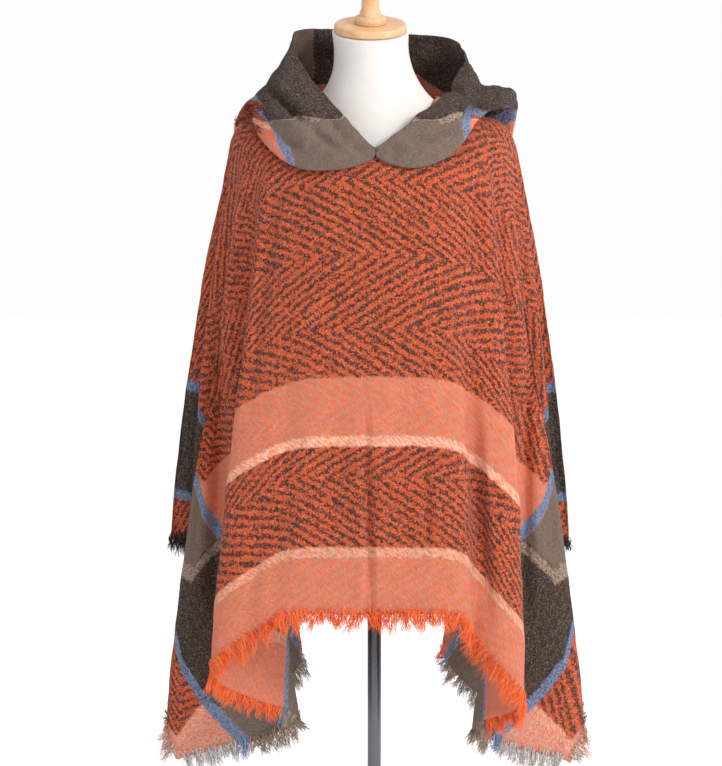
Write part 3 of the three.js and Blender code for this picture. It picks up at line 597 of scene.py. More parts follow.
class Graph:
    """Node tree of one material, with its principled shader, or of the studio's sky."""

    def __init__(self, name: str, sky: bool = False) -> None:
        """Makes an empty material or sky of that name."""
        self.material = (bpy.data.worlds if sky else bpy.data.materials).new(name)
        self.material.use_nodes = True
        self.tree = self.material.node_tree
        self.tree.nodes.clear()
        self.shader = self.tree.nodes.new("ShaderNodeBackground" if sky else "ShaderNodeBsdfPrincipled")
        output = self.tree.nodes.new("ShaderNodeOutputWorld" if sky else "ShaderNodeOutputMaterial")
        self.tree.links.new(self.shader.outputs[0], output.inputs[0])

    def put(self, socket: Any, value: Value) -> None:
        """Links or sets one input socket."""
        if isinstance(value, Sig):
            self.tree.links.new(value.socket, socket)
        else:
            socket.default_value = value

    def node(self, kind: str, settings: dict[str, Any], sockets: dict[Any, Value], output: Any = 0) -> Sig:
        """Adds one node.

        Args:
            kind: Blender's node type.
            settings: properties of the node, set first.
            sockets: values or links of its inputs, by name or number.
            output: name or number of the output to return.

        Returns:
            The chosen output.
        """
        node = self.tree.nodes.new(kind)
        for key, value in settings.items():
            setattr(node, key, value)
        for key, value in sockets.items():
            self.put(node.inputs[key], value)
        return Sig(self, node.outputs[output])

    def maths(self, operation: str, *values: Value, clamp: bool = False) -> Sig:
        """One Math node."""
        settings = {"operation": operation, "use_clamp": clamp}
        return self.node("ShaderNodeMath", settings, dict(enumerate(values)))

    def mix(self, share: Value, first: Value, second: Value) -> Sig:
        """Colour that turns from first to second as share goes from 0 to 1."""
        return self.node("ShaderNodeMix", {"data_type": "RGBA"}, {0: share, 6: first, 7: second}, 2)

    def scaled(self, vector: Sig, factors: tuple[float, float, float]) -> Sig:
        """Vector with each part multiplied."""
        return self.node("ShaderNodeVectorMath", {"operation": "MULTIPLY"}, {0: vector, 1: factors})

    def noise(self, vector: Sig, scale: float, detail: float = 2.0, roughness: float = 0.5) -> Sig:
        """Noise around one half."""
        sockets = {"Vector": vector, "Scale": scale, "Detail": detail, "Roughness": roughness}
        return self.node("ShaderNodeTexNoise", {"noise_dimensions": "3D"}, sockets)

    def step(self, value: Value, edge: float, softness: float) -> Sig:
        """0 below an edge and 1 above it, over a short ramp."""
        return self.maths("MULTIPLY_ADD", value, 1.0 / softness, 0.5 - edge / softness, clamp=True)

    def tones(self, value: Value, edge: float, softness: float, first: str, second: str) -> Sig:
        """Colour that turns from one screen colour to another as a value passes an edge."""
        return self.mix(self.step(value, edge, softness), colour(first), colour(second))

    def dab(self, base: Value, value: Value, edge: float, softness: float, code: str, strength: Value) -> Sig:
        """Colour dabbed with a screen colour where a value lies above an edge."""
        return self.mix(self.step(value, edge, softness) * strength, base, colour(code))

    def place(self) -> Sig:
        """Place on the piece, in metres."""
        return self.node("ShaderNodeTexCoord", {}, {}, "Object")

    def part(self, vector: Sig, axis: str) -> Sig:
        """One part of a vector."""
        return self.node("ShaderNodeSeparateXYZ", {}, {0: vector}, axis)

    def band(self, value: Value, low: float, high: float, softness: float) -> Sig:
        """1 between two edges."""
        return self.step(value, low, softness) - self.step(value, high, softness)

    def bump(self, height: Value, distance: float, strength: float) -> Sig:
        """Normal raised by a height in millimetres."""
        sockets = {"Height": height, "Distance": distance * MM, "Strength": strength}
        return self.node("ShaderNodeBump", {}, sockets)

    def finish(self, surface: dict[str, Value]) -> bpy.types.Material:
        """Sets the shader's sockets and returns the material."""
        for key, value in surface.items():
            self.put(self.shader.inputs[key], value)
        return self.material


def colour(code: str) -> tuple[float, float, float, float]:
    """Linear colour of a six-digit screen colour."""
    parts = [int(code[i:i + 2], 16) / 255 for i in (0, 2, 4)]
    linear = [c / 12.92 if c <= 0.04045 else ((c + 0.055) / 1.055) ** 2.4 for c in parts]
    return (*linear, 1.0)


class YarnState(Enum):
    """Whether yarn is woven into cloth or hangs loose at its edge."""

    WOVEN = "woven"
    LOOSE = "loose"


@dataclass(frozen=True)
class CheckLayout:
    """Where the blanket's stripes and bands lie, in millimetres from its middle."""

    inner_blue: tuple[float, float] = (640, 657)
    outer_blue: tuple[float, float] = (822, 839)
    plain_band: tuple[float, float] = (475, 565)
    inner_pale: tuple[float, float] = (564, 580)
    outer_pale: tuple[float, float] = (734, 750)
    herring_first: float = 176.0
    herring_rows: float = 113.0
    herring_across: float = 23.0
    herring_down: float = 14.5


@dataclass(frozen=True)
class BrushedCheck:
    """Brushed woollen check: herringbone, plain bands and stripes, by the blanket's coordinates."""

    name: str
    state: YarnState
    layout: CheckLayout = CheckLayout()
    edge: float = 4.0
    wobble: float = 9.0
    fuzz: float = 9.5
    breaks: float = 5.5
    contrast: float = 0.7
    darkness: float = 0.44

    def build(self) -> bpy.types.Material:
        """Makes the material."""
        g = Graph(self.name)
        at = g.node("ShaderNodeAttribute", {"attribute_name": "blanket"}, {}, "Vector")
        across, along = g.part(at, "X"), g.part(at, "Y")
        grain = g.scaled(g.place(), (1 / MM, 1 / MM, 1 / MM))
        drift = g.noise(grain, 0.16, 3.0, 0.6) - 0.5
        sway = g.noise(grain, 0.13, 3.0, 0.6) - 0.5
        columns = self.columns(g, abs(across) + drift * self.wobble)
        rows = self.rows(g, abs(along) + sway * self.wobble)
        fleck = g.noise(grain, 0.34, 3.0, 0.7)
        if self.state is YarnState.LOOSE:
            return self.loose(g, columns, rows, fleck, abs(along))
        return self.woven(g, grain, across, abs(along), columns, rows, fleck)

    def columns(self, g: Graph, across: Sig) -> dict[str, Sig]:
        """Masks of the stripes that run along the blanket."""
        lay = self.layout
        blue = g.band(across, *lay.inner_blue, self.edge) + g.band(across, *lay.outer_blue, self.edge)
        grey = g.band(across, lay.inner_blue[1], lay.outer_blue[0], self.edge)
        return {"blue": blue, "grey": grey, "outer": g.step(across, lay.outer_blue[1], self.edge)}

    def rows(self, g: Graph, down: Sig) -> dict[str, Sig]:
        """Masks of the bands that run across the blanket."""
        lay = self.layout
        pale = g.band(down, *lay.inner_pale, self.edge) + g.band(down, *lay.outer_pale, self.edge) * 0.75
        plain = g.band(down, *lay.plain_band, self.edge) + g.step(down, lay.outer_pale[1], self.edge)
        return {"pale": pale, "plain": plain}

    def zigzag(self, g: Graph, down: Sig) -> Sig:
        """Distance that the herringbone has gone down since its last turn."""
        lay = self.layout
        return g.maths("PINGPONG", down - lay.herring_first + 4 * lay.herring_rows, lay.herring_rows)

    def stripes(self, g: Graph, grain: Sig, across: Sig, down: Sig, fleck: Sig) -> tuple[Sig, Sig]:
        """Even wave of the herringbone, and 1 on its dark stripes, which fuzz breaks into flecks."""
        lay = self.layout
        ragged = g.noise(grain, 0.09, 3.0, 0.6)
        turn = self.zigzag(g, down)
        phase = across / lay.herring_across - turn / lay.herring_down + (ragged - 0.5) * 0.9
        wave = g.maths("COSINE", phase * (2 * math.pi))
        broken = g.noise(grain, 0.15, 2.0, 0.6)
        fuzzy = wave + (fleck - 0.5) * self.fuzz + (broken - 0.5) * self.breaks
        return wave, g.maths("MULTIPLY_ADD", fuzzy, self.contrast, self.darkness, clamp=True)

    def marl(self, g: Graph, across: Sig, down: Sig) -> Sig:
        """Short slanting flecks of a heather yarn."""
        lean = {0: (across + down) * 0.07, 1: (across - down) * 0.3, 2: 3.0}
        lean = g.node("ShaderNodeCombineXYZ", {}, lean)
        return g.noise(lean, 1.0, 3.0, 0.65)

    def woven(
        self, g: Graph, grain: Sig, across: Sig, down: Sig,
        columns: dict[str, Sig], rows: dict[str, Sig], fleck: Sig,
    ) -> bpy.types.Material:
        """Colours and relief of the cloth itself.

        Args:
            g: the material's graph.
            grain: place on the piece in millimetres.
            across: distance to the right of the blanket's middle.
            down: distance along it from its middle.
            columns: masks of the stripes along it.
            rows: masks of the bands across it.
            fleck: fine noise of the yarn.

        Returns:
            The material.
        """
        wave, dark = self.stripes(g, grain, across, down, fleck)
        speck = g.noise(grain, 0.42, 2.0, 0.6)
        mottle = g.noise(grain, 0.05, 3.0, 0.6)
        lint = g.noise(grain, 0.24, 3.0, 0.75)
        marl = self.marl(g, across, down)
        orange = g.tones(speck, 0.5, 0.3, "b84a29", "f27043")
        orange = g.dab(orange, marl, 0.6, 0.16, "9c5a4a", 0.6)
        brown = g.tones(speck, 0.5, 0.3, "3a201a", "703b2d")
        brown = g.dab(brown, lint, 0.61, 0.1, "747c82", 0.6)
        herring = g.mix(dark, orange, brown)
        herring = g.dab(herring, speck, 0.67, 0.06, "cfa68c", 0.6)
        heather = g.tones(wave * 0.045 + marl, 0.5, 0.14, "f46d3c", "df8f74")
        heather = g.dab(heather, speck, 0.55, 0.12, "b79082", 0.55)
        heather = g.dab(heather, mottle, 0.5, 0.5, "d98a70", 0.25)
        pale = g.tones(marl, 0.5, 0.14, "f58f69", "fdc8ae")
        orange_cell = g.mix(rows["plain"], herring, heather)
        orange_cell = g.mix(rows["pale"], orange_cell, pale)
        boucle = g.tones(fleck, 0.5, 0.3, "33251f", "5a473d")
        boucle = g.dab(boucle, speck, 0.58, 0.1, "8f7d6e", 0.7)
        taupe = g.tones(fleck, 0.5, 0.4, "6b594d", "87766a")
        taupe = g.dab(taupe, mottle, 0.55, 0.4, "937f71", 0.35)
        beige = g.tones(fleck, 0.54, 0.14, "c9ad97", "7b6558")
        grey_cell = g.mix(rows["plain"], boucle, taupe)
        grey_cell = g.mix(rows["pale"], grey_cell, beige)
        blue = g.tones(fleck, 0.5, 0.2, "8b9dbb", "5e7193")
        blue = g.dab(blue, speck, 0.58, 0.1, "4b4347", 1.0 - rows["plain"])
        frost = g.dab(orange_cell, speck, 0.5, 0.12, "ecccbe", rows["plain"] * 0.45)
        cloth = g.mix(columns["outer"], orange_cell, frost)
        cloth = g.mix(columns["grey"], cloth, grey_cell)
        cloth = g.mix(columns["blue"], cloth, blue)
        cloth = g.dab(cloth, mottle, 0.6, 0.4, "3a241d", 0.16)
        looped = columns["grey"] * (1.0 - rows["plain"])
        relief = fleck * 1.2 + speck * 0.6 + mottle * 0.5 - dark * 0.3 * (1.0 - rows["plain"])
        lumps = g.noise(grain, 0.1, 2.0, 0.5)
        relief = relief + (fleck + speck * 0.8 + lumps * 2.2) * looped * 1.6 + lumps * columns["grey"] * 1.2
        return g.finish({
            "Base Color": cloth,
            "Roughness": 0.95,
            "Specular IOR Level": 0.1,
            "Sheen Weight": 0.1,
            "Sheen Roughness": 0.6,
            "Normal": g.bump(relief, 3.0, 1.0),
        })

    def loose(
        self, g: Graph, columns: dict[str, Sig], rows: dict[str, Sig], fleck: Sig, down: Sig
    ) -> bpy.types.Material:
        """Colours of the yarn ends beyond the hem.

        Args:
            g: the material's graph.
            columns: masks of the stripes along the blanket.
            rows: masks of the bands across it.
            fleck: fine noise of the yarn.
            down: distance along the blanket from its middle.

        Returns:
            The material.
        """
        side = 1.0 - g.step(down, HALF_LENGTH - 12.0, 1.0)
        bright = g.tones(fleck, 0.5, 0.3, "f0642f", "ff8d55")
        grey = g.tones(fleck, 0.5, 0.3, "857464", "bfa995")
        frost = g.tones(fleck, 0.5, 0.25, "b1a9a6", "e2dcd8")
        dark = g.tones(fleck, 0.55, 0.3, "2a2422", "5b4a40")
        hem = g.mix(columns["grey"], bright, grey)
        hem = g.mix(columns["blue"], hem, colour("8ea1bd"))
        hem = g.mix(columns["outer"] * 0.75, hem, frost)
        selvedge = g.mix(rows["plain"], dark, frost)
        selvedge = g.mix(rows["pale"], selvedge, colour("f2b9a0"))
        yarn = g.mix(side * columns["outer"], hem, selvedge)
        return g.finish({
            "Base Color": yarn,
            "Roughness": 0.95,
            "Specular IOR Level": 0.1,
            "Sheen Weight": 0.15,
            "Normal": g.bump(fleck, 0.8, 0.6),
        })


@dataclass(frozen=True)
class Jersey:
    """Fine stretched jersey: narrow wales over a faint mottle."""

    name: str = "jersey_off_white"
    wale: float = 1.1

    def build(self) -> bpy.types.Material:
        """Makes the material."""
        g = Graph(self.name)
        at = g.place()
        wave_settings = {"wave_type": "BANDS", "bands_direction": "X"}
        wales = g.node("ShaderNodeTexWave", wave_settings, {"Vector": at, "Scale": 0.31 / (self.wale * MM)})
        courses = g.node(
            "ShaderNodeTexWave", {"wave_type": "BANDS", "bands_direction": "Z"},
            {"Vector": at, "Scale": 0.31 / (self.wale * MM)}, 1,
        )
        mottle = g.noise(at, 60.0, 3.0)
        tint = g.mix(mottle, colour("e9e4e0"), colour("dfd9d4"))
        knit = g.mix(wales * 0.12, tint, colour("c8c1bb"))
        return g.finish({
            "Base Color": knit,
            "Roughness": 0.82,
            "Specular IOR Level": 0.25,
            "Sheen Weight": 0.05,
            "Normal": g.bump(wales + courses * 0.6, 0.12, 0.4),
        })


@dataclass(frozen=True)
class TurnedBeech:
    """Pale lacquered beech with fine grain across the turning."""

    name: str = "turned_beech"

    def build(self) -> bpy.types.Material:
        """Makes the material."""
        g = Graph(self.name)
        at = g.place()
        grain = g.noise(g.scaled(at, (40.0, 260.0, 40.0)), 1.0, 4.0, 0.6)
        rings = g.noise(g.scaled(at, (18.0, 60.0, 14.0)), 1.0, 2.0)
        flecks = g.noise(g.scaled(at, (900.0, 120.0, 900.0)), 1.0, 1.0)
        tone = g.mix(grain, colour("f2cfa4"), colour("d99c66"))
        tone = g.dab(tone, rings, 0.58, 0.2, "c98a58", 0.35)
        tone = g.dab(tone, flecks, 0.66, 0.06, "a8693f", 0.4)
        return g.finish({
            "Base Color": tone,
            "Roughness": grain * 0.15 + 0.36,
            "Coat Weight": 0.25,
            "Coat Roughness": 0.3,
            "Normal": g.bump(grain, 0.08, 0.3),
        })


@dataclass(frozen=True)
class PolishedSteel:
    """Dark polished steel, brushed along its length or in rings."""

    name: str
    tone: str
    stretch: tuple[float, float, float]

    def build(self) -> bpy.types.Material:
        """Makes the material."""
        g = Graph(self.name)
        at = g.place()
        brushed = g.noise(g.scaled(at, self.stretch), 1.0, 3.0, 0.6)
        smears = g.noise(at, 14.0, 3.0)
        return g.finish({
            "Base Color": g.mix(brushed, colour(self.tone), colour("77797e")),
            "Metallic": 1.0,
            "Roughness": brushed * 0.16 + smears * 0.1 + 0.16,
            "Normal": g.bump(brushed, 0.02, 0.2),
        })


@dataclass(frozen=True)
class PalePaint:
    """Matt pale studio floor with a soft glow of its own and the faintest mottle."""

    name: str = "studio_floor"
    glow: float = 0.36

    def build(self) -> bpy.types.Material:
        """Makes the material."""
        g = Graph(self.name)
        at = g.place()
        pale = g.mix(g.noise(at, 3.0), colour("ffffff"), colour("fbfbfb"))
        return g.finish({
            "Base Color": pale, "Roughness": 0.9, "Emission Color": pale, "Emission Strength": self.glow,
        })


@dataclass
class BlanketPanel:
    """Front or back panel of the poncho, from seam to seam and from neckline to hem."""

    name: str
    node: str
    ahead: bool
    wall: float = 2.0
    seam_gap: float = 0.3
    hem_step: float = 5.2
    slope_rows: int = 20
    fall_rows: int = 86
    creases: tuple[Crease, ...] = CREASES
    unevenness: tuple[Unevenness, ...] = (Unevenness(1.5, 170, 11), Unevenness(0.55, 46, 12))

    def flats(self, cloth: BlanketSide) -> Array:
        """Flat angles of one side's columns, evenly spread along the hem, from the centre to the seam."""
        fine = np.linspace(0, 90, 1801) if self.ahead else np.linspace(180, 90, 1801)
        step = np.hypot(np.hypot(np.diff(cloth.x(fine)), np.diff(cloth.y(fine))), 0.08)
        route = np.concatenate([[0], np.cumsum(step)])
        count = int(round(route[-1] / self.hem_step))
        return np.interp(np.linspace(0, route[-1], count + 1), route, fine)

    def half(self, cloth: BlanketSide) -> tuple[Array, Array]:
        """Points and pattern coordinates of one side, [run, column]."""
        flat = self.flats(cloth)
        col = cloth.columns(flat)
        top = col["slope_run"] + col["bend"]
        near = np.linspace(0, 1, self.slope_rows, endpoint=False)[:, None] * top
        far = top + np.linspace(0, 1, self.fall_rows + 1)[:, None] * (col["length"] - top)
        run = np.concatenate([near, far])
        flats = np.broadcast_to(flat, run.shape)
        return cloth.point(flats, run), cloth.blanket(flats, run)

    def grid(self) -> tuple[Array, Array]:
        """Points and pattern coordinates of the whole panel, columns going to the viewer's right."""
        left, right = self.half(LEFT), self.half(RIGHT)
        joined = [np.concatenate([a[:, ::-1], b[:, 1:]], axis=1) for a, b in zip(left, right)]
        return joined[0], joined[1]

    def build(self, cloth: bpy.types.Material) -> bpy.types.Object:
        """Makes the panel.

        Args:
            cloth: the material of the woven check.

        Returns:
            The piece.
        """
        points, pattern = self.grid()
        if not self.ahead:
            points, pattern = points[:, ::-1], pattern[:, ::-1]
        normals = grid_normals(points)
        inward = sum(crease.depth_at(points, normals) for crease in self.creases)
        inward = inward - sum(waves.at(points) for waves in self.unevenness)
        outer = points - normals * inward[..., None]
        for edge, sign in ((0, 1.0), (-1, -1.0)):
            outer[:, edge] += unit(outer[:, edge + int(sign)] - outer[:, edge]) * self.seam_gap / 2
        inner = outer - grid_normals(outer) * self.wall
        vertices, faces = closed_shell(outer, inner)
        flat = pattern.reshape(-1, 3)
        piece = build_object(self.name, vertices, faces, np.concatenate([flat, flat]))
        dress(piece, cloth, "cloth", self.node)
        return piece


def resampled(points: Array, count: int) -> Array:
    """A polyline's points spread evenly along it.

    Args:
        points: the polyline, [point, 3].
        count: how many points to return.

    Returns:
        The new points.
    """
    route = np.concatenate([[0], np.cumsum(np.linalg.norm(np.diff(points, axis=0), axis=1))])
    at = np.linspace(0, route[-1], count)
    return np.stack([np.interp(at, route, points[:, k]) for k in range(3)], -1)


def centripetal(points: Array, steps: int = 14) -> Array:
    """Smooth curve through points, by the centripetal Catmull-Rom rule.

    Args:
        points: the points, [point, 3].
        steps: pieces to each span.

    Returns:
        A fine polyline.
    """
    ends = np.concatenate([[2 * points[0] - points[1]], points, [2 * points[-1] - points[-2]]])
    u = np.linspace(0, 1, steps, endpoint=False)[:, None]
    fine = []
    for a, b, c, d in zip(ends[:-3], ends[1:-2], ends[2:-1], ends[3:]):
        gaps = [max(math.sqrt(float(np.linalg.norm(q - p))), 1e-3) for p, q in ((a, b), (b, c), (c, d))]
        start = (b - a) / gaps[0] - (c - a) / (gaps[0] + gaps[1]) + (c - b) / gaps[1]
        end = (c - b) / gaps[1] - (d - b) / (gaps[1] + gaps[2]) + (d - c) / gaps[2]
        start, end = start * gaps[1], end * gaps[1]
        fine.append(
            b * (1 + 2 * u) * (1 - u) ** 2 + c * u * u * (3 - 2 * u)
            + start * u * (1 - u) ** 2 + end * u * u * (u - 1)
        )
    return np.concatenate([*fine, points[-1:]])


@dataclass
class HoodHalf:
    """One half of the hood: up from the neckline, over a roll and up to its face edge."""

    name: str
    node: str
    cloth: BlanketSide
    stations: list[HoodStation]
    wall: float = 1.9
    seam_lift: float = 1.9
    seam_gap: float = 0.3
    places: int = 150
    rows: int = 88
    border_across: float = 652.0
    beige_along: float = 572.0
    boucle_from: float = 1334.0
    # painted light: inside the hood, left of this x, the lighter taupe replaces the boucle to look like the
    # lit inside of the fold
    painted_light_fold: float = -98.0
    unevenness: tuple[Unevenness, ...] = (
        Unevenness(2.8, 80, 21), Unevenness(1.6, 32, 22), Unevenness(0.7, 15, 23),
    )

    def section(self, flat: float) -> Array:
        """Points of one section, from the seam to the face edge."""
        at = {key: float(curve(np.array(flat))) for key, curve in self.curves.items()}

        def lifted(run: float, lift: float) -> Array:
            """A point that far down the panel and that far off it."""
            place, normal = self.cloth.frames(np.array(float(flat)), np.array(float(run)))
            return place + normal * lift

        rise = at["roll"] * 0.8 - self.seam_lift
        lying = (0, 0.3, 0.6, 0.85)
        route = [lifted(max(2.0, at["reach"] * share), self.seam_lift + share * rise) for share in lying]
        route += [lifted(at["reach"], at["roll"] * 1.1), lifted(at["reach"] * 0.93, at["roll"] * 1.6)]
        face_edge = np.array([self.cloth.side * at["x"], at["y"], at["z"]])
        route += [lifted(at["reach"] * 0.5, at["puff"]), face_edge]
        return resampled(centripetal(np.array(route)), self.rows + 1)

    def pattern(self, points: Array, inside: bool) -> Array:
        """Pattern coordinates: boucle above, taupe below, and a blue and an orange border at the outer edge.

        Args:
            points: points of the half, in millimetres.
            inside: whether they face the neck.

        Returns:
            Across and along coordinates and a zero.
        """
        x, z = points[..., 0], points[..., 2]
        taupe_along, lining_across = 520.0, 560.0
        if self.cloth.side < 0:
            level = (-x - 173 + (1350 - z) * 0.64) * (1.2 + 5 * np.exp(-(((z - 1322) / 15) ** 2)))
        else:
            level = np.where(x < 150, x - 150 + (1343 - z) * 0.3, 1345 - z) * 1.2
        across = self.border_across - np.clip(level, -150, 60)
        patchy = 1.4 + 7 * smooth_step(0.0, 0.5, np.sin(x * 0.085 + 1.0))
        along = self.beige_along + np.clip((z - self.boucle_from) * patchy, -52, 90)
        if inside:
            top = np.where(x > 0, 1425 - (x - 55) * 0.7, 1398)
            lining = smooth_step(top + 4, top - 4, z) * (np.abs(x) > 44)
            # painted light: the inside of the left fold takes the lighter taupe in place of the darker
            # boucle, to look lit
            along = np.where(x < self.painted_light_fold, taupe_along, along)
            across = across + (lining_across - across) * lining
            along = along + (taupe_along + x * 0.2 - along) * lining
        wave = np.sin(x * 0.071 + z * 0.043) * 7 + np.sin(x * 0.033 - z * 0.061) * 6
        return np.stack([across + wave, along + wave, np.zeros_like(across)], -1)

    def build(self, cloth: bpy.types.Material) -> bpy.types.Object:
        """Makes the half.

        Args:
            cloth: the material of the woven check.

        Returns:
            The piece.
        """
        flats = [row.flat for row in self.stations]
        names = ("reach", "roll", "puff", "x", "y", "z")
        self.curves = {
            key: MonotoneCubic(flats, [getattr(row, key) for row in self.stations]) for key in names
        }
        grid = np.stack([self.section(flat) for flat in np.linspace(0, 180, self.places + 1)], 1)[::-1]
        if self.cloth.side < 0:
            grid = grid[:, ::-1]
        normals = grid_normals(grid)
        inward = sum(crease.depth_at(grid, normals) for crease in HOOD_CREASES)
        inward = inward - sum(waves.at(grid) for waves in self.unevenness)
        share = np.linspace(0, 1, self.rows + 1)[:, None]
        middle = grid - normals * (inward * smooth_step(0.56, 0.44, share))[..., None]
        normals = grid_normals(middle) * self.wall / 2
        outer, inner = middle + normals, middle - normals
        for layer in (outer, inner):
            for edge in (0, -1):
                layer[:, edge, 0] = self.cloth.side * self.seam_gap / 2
        vertices, faces = closed_shell(outer, inner)
        half = len(vertices) // 2
        places = np.concatenate([self.pattern(vertices[:half], False), self.pattern(vertices[half:], True)])
        piece = build_object(self.name, vertices, faces, places)
        dress(piece, cloth, "hood_cloth", self.node)
        return piece


@dataclass(frozen=True)
class HemStretch:
    """A stretch of one side's lower edge between two flat angles, in the order given."""

    cloth: BlanketSide
    start: float
    end: float


@dataclass(frozen=True)
class YarnLocks:
    """Teased yarn ends in uneven locks along a line, as flat wavy strands."""

    seed: int
    pitch: float = 8.0
    strands: int = 30
    length: float = 26.0
    width: float = 1.3
    steps: int = 5
    climb: float = 12.0
    climbing: float = 0.45
    lock_spread: float = 0.75
    gather: float = 0.75
    curl: float = 2.6
    taper: float = 0.75

    def grow(self, points: Array, normals: Array, pattern: Array, pull: Array) -> tuple[Array, Array, Array]:
        """Strands along a line.

        Args:
            points: points of the line.
            normals: outward directions there.
            pattern: pattern coordinates there.
            pull: direction added to the strands' own, such as gravity's.

        Returns:
            Vertices, faces and pattern coordinates.
        """
        random = np.random.default_rng(self.seed)
        route = np.concatenate([[0], np.cumsum(np.linalg.norm(np.diff(points, axis=0), axis=1))])
        locks = max(1, int(route[-1] / self.pitch))
        count = locks * self.strands
        lock = np.repeat(np.arange(locks), self.strands)
        spread = random.uniform(-self.lock_spread, self.lock_spread, count)
        at = np.clip((lock + 0.5 + spread) * self.pitch, 0, route[-1])

        def along(grid: Array, place: Array) -> Array:
            """Values of a grid at places along the line."""
            return np.stack([np.interp(place, route, grid[:, k]) for k in range(3)], -1)

        root, out, place = along(points, at), unit(along(normals, at)), along(pattern, at)
        ahead, behind = np.minimum(at + 2, route[-1]), np.maximum(at - 2, 0)
        side = unit(along(points, ahead) - along(points, behind))
        away = unit(np.cross(side, out))
        away = away * np.where((away * pull).sum(1, keepdims=True) < 0, -1.0, 1.0)
        fall = unit(away + pull)
        raised = (random.random(count) < self.climbing)[:, None]
        climb = random.uniform(0, self.climb, (count, 1)) * raised
        root = root - away * climb + out * raised * random.uniform(1.6, 3.4, (count, 1))
        reach = (self.length * random.uniform(0.5, 1.3, locks))[lock]
        reach = reach * random.uniform(0.7, 1.1, count) + climb[:, 0]
        sway = random.normal(0, 0.2, locks)[lock] + random.normal(0, 0.12, count)
        lean = random.normal(0, 0.10, locks)[lock] + random.normal(0, 0.08, count)
        curl = random.normal(0, self.curl, count)
        share = np.linspace(0, 1, self.steps + 1)[:, None]
        gather = -spread * self.pitch * self.gather
        across = (gather + sway * reach) * share**1.4 + curl * np.sin(share * math.pi * 1.7)
        off = lean * reach * share**1.5 + random.uniform(-0.7, 0.7, count)
        line = root + fall * (reach * share)[..., None] + side * across[..., None] + out * off[..., None]
        turn = random.uniform(0, math.pi, count)
        flat = side * np.cos(turn)[:, None] + out * np.sin(turn)[:, None]
        width = self.width * (1 - self.taper * share**2) * random.uniform(0.7, 1.2, count) / 2
        low, high = line - flat * width[..., None], line + flat * width[..., None]
        rows = self.steps + 1
        vertices = np.stack([low, high], 2).transpose(1, 0, 2, 3).reshape(-1, 3)
        base = np.arange(count)[:, None] * rows * 2 + np.arange(self.steps)[None] * 2
        faces = np.stack([base, base + 1, base + 3, base + 2], -1).reshape(-1, 4)
        shades = np.repeat(place + np.stack([curl, curl * 2, curl], -1) * 0.6, rows * 2, axis=0)
        return vertices, faces, shades


@dataclass
class FringedEdge:
    """Yarn ends along a stretch of the blanket's edge."""

    name: str
    node: str
    stretches: tuple[HemStretch, ...]
    locks: YarnLocks

    def edge(self) -> tuple[Array, Array, Array]:
        """Even points, outward normals and pattern coordinates along the edge."""
        points, normals, pattern = [], [], []
        for stretch in self.stretches:
            flat = np.linspace(stretch.start, stretch.end, 1600)
            run = stretch.cloth.length(flat)
            place, normal = stretch.cloth.frames(flat, run)
            points.append(place - normal * 1.1)
            normals.append(normal)
            pattern.append(stretch.cloth.blanket(flat, run))
        return np.concatenate(points), np.concatenate(normals), np.concatenate(pattern)

    def build(self, yarn: bpy.types.Material) -> bpy.types.Object:
        """Makes the fringe.

        Args:
            yarn: the material of the loose yarn.

        Returns:
            The piece.
        """
        piece = build_object(self.name, *self.locks.grow(*self.edge(), np.array([0.0, 0.0, -0.5])))
        dress(piece, yarn, "fringe", self.node)
        return piece


@dataclass
class ShoulderTufts:
    """Two frayed rows of yarn where the hood's border lies on the left shoulder."""

    name: str = "shoulder_tufts_yarn"
    rows: tuple[tuple[tuple[float, float, float], ...], ...] = (
        ((-200, -20, 1350), (-193, -40, 1357), (-181, -62, 1358), (-172, -72, 1350)),
        ((-214, -30, 1326), (-206, -54, 1334), (-190, -76, 1330), (-172, -92, 1314)),
    )
    place: tuple[float, float, float] = (300.0, 250.0, 0.0)

    def build(self, yarn: bpy.types.Material) -> bpy.types.Object:
        """Makes the tufts.

        Args:
            yarn: the material of the loose yarn.

        Returns:
            The piece.
        """
        parts, start = [], 0
        for seed, row in enumerate(self.rows, 71):
            line = resampled(centripetal(np.array(row, float)), 40)
            out = unit(line - np.array([-120.0, 20.0, 1300.0]))
            place = np.tile(np.array(self.place), (len(line), 1))
            locks = YarnLocks(seed, pitch=5.0, strands=26, length=8.5, climb=6.0)
            points, faces, shades = locks.grow(line, out, place, np.array([-0.7, -0.4, 0.25]))
            parts.append((points, faces + start, shades))
            start += len(points)
        piece = build_object(self.name, *(np.concatenate(group) for group in zip(*parts)))
        dress(piece, yarn, "fringe")
        return piece


def read_vectors(items: Any, key: str) -> Array:
    """One vector property of a mesh's vertices or attribute, [item, 3]."""
    values = np.zeros(len(items) * 3, np.float32)
    items.foreach_get(key, values)
    return values.reshape(-1, 3)


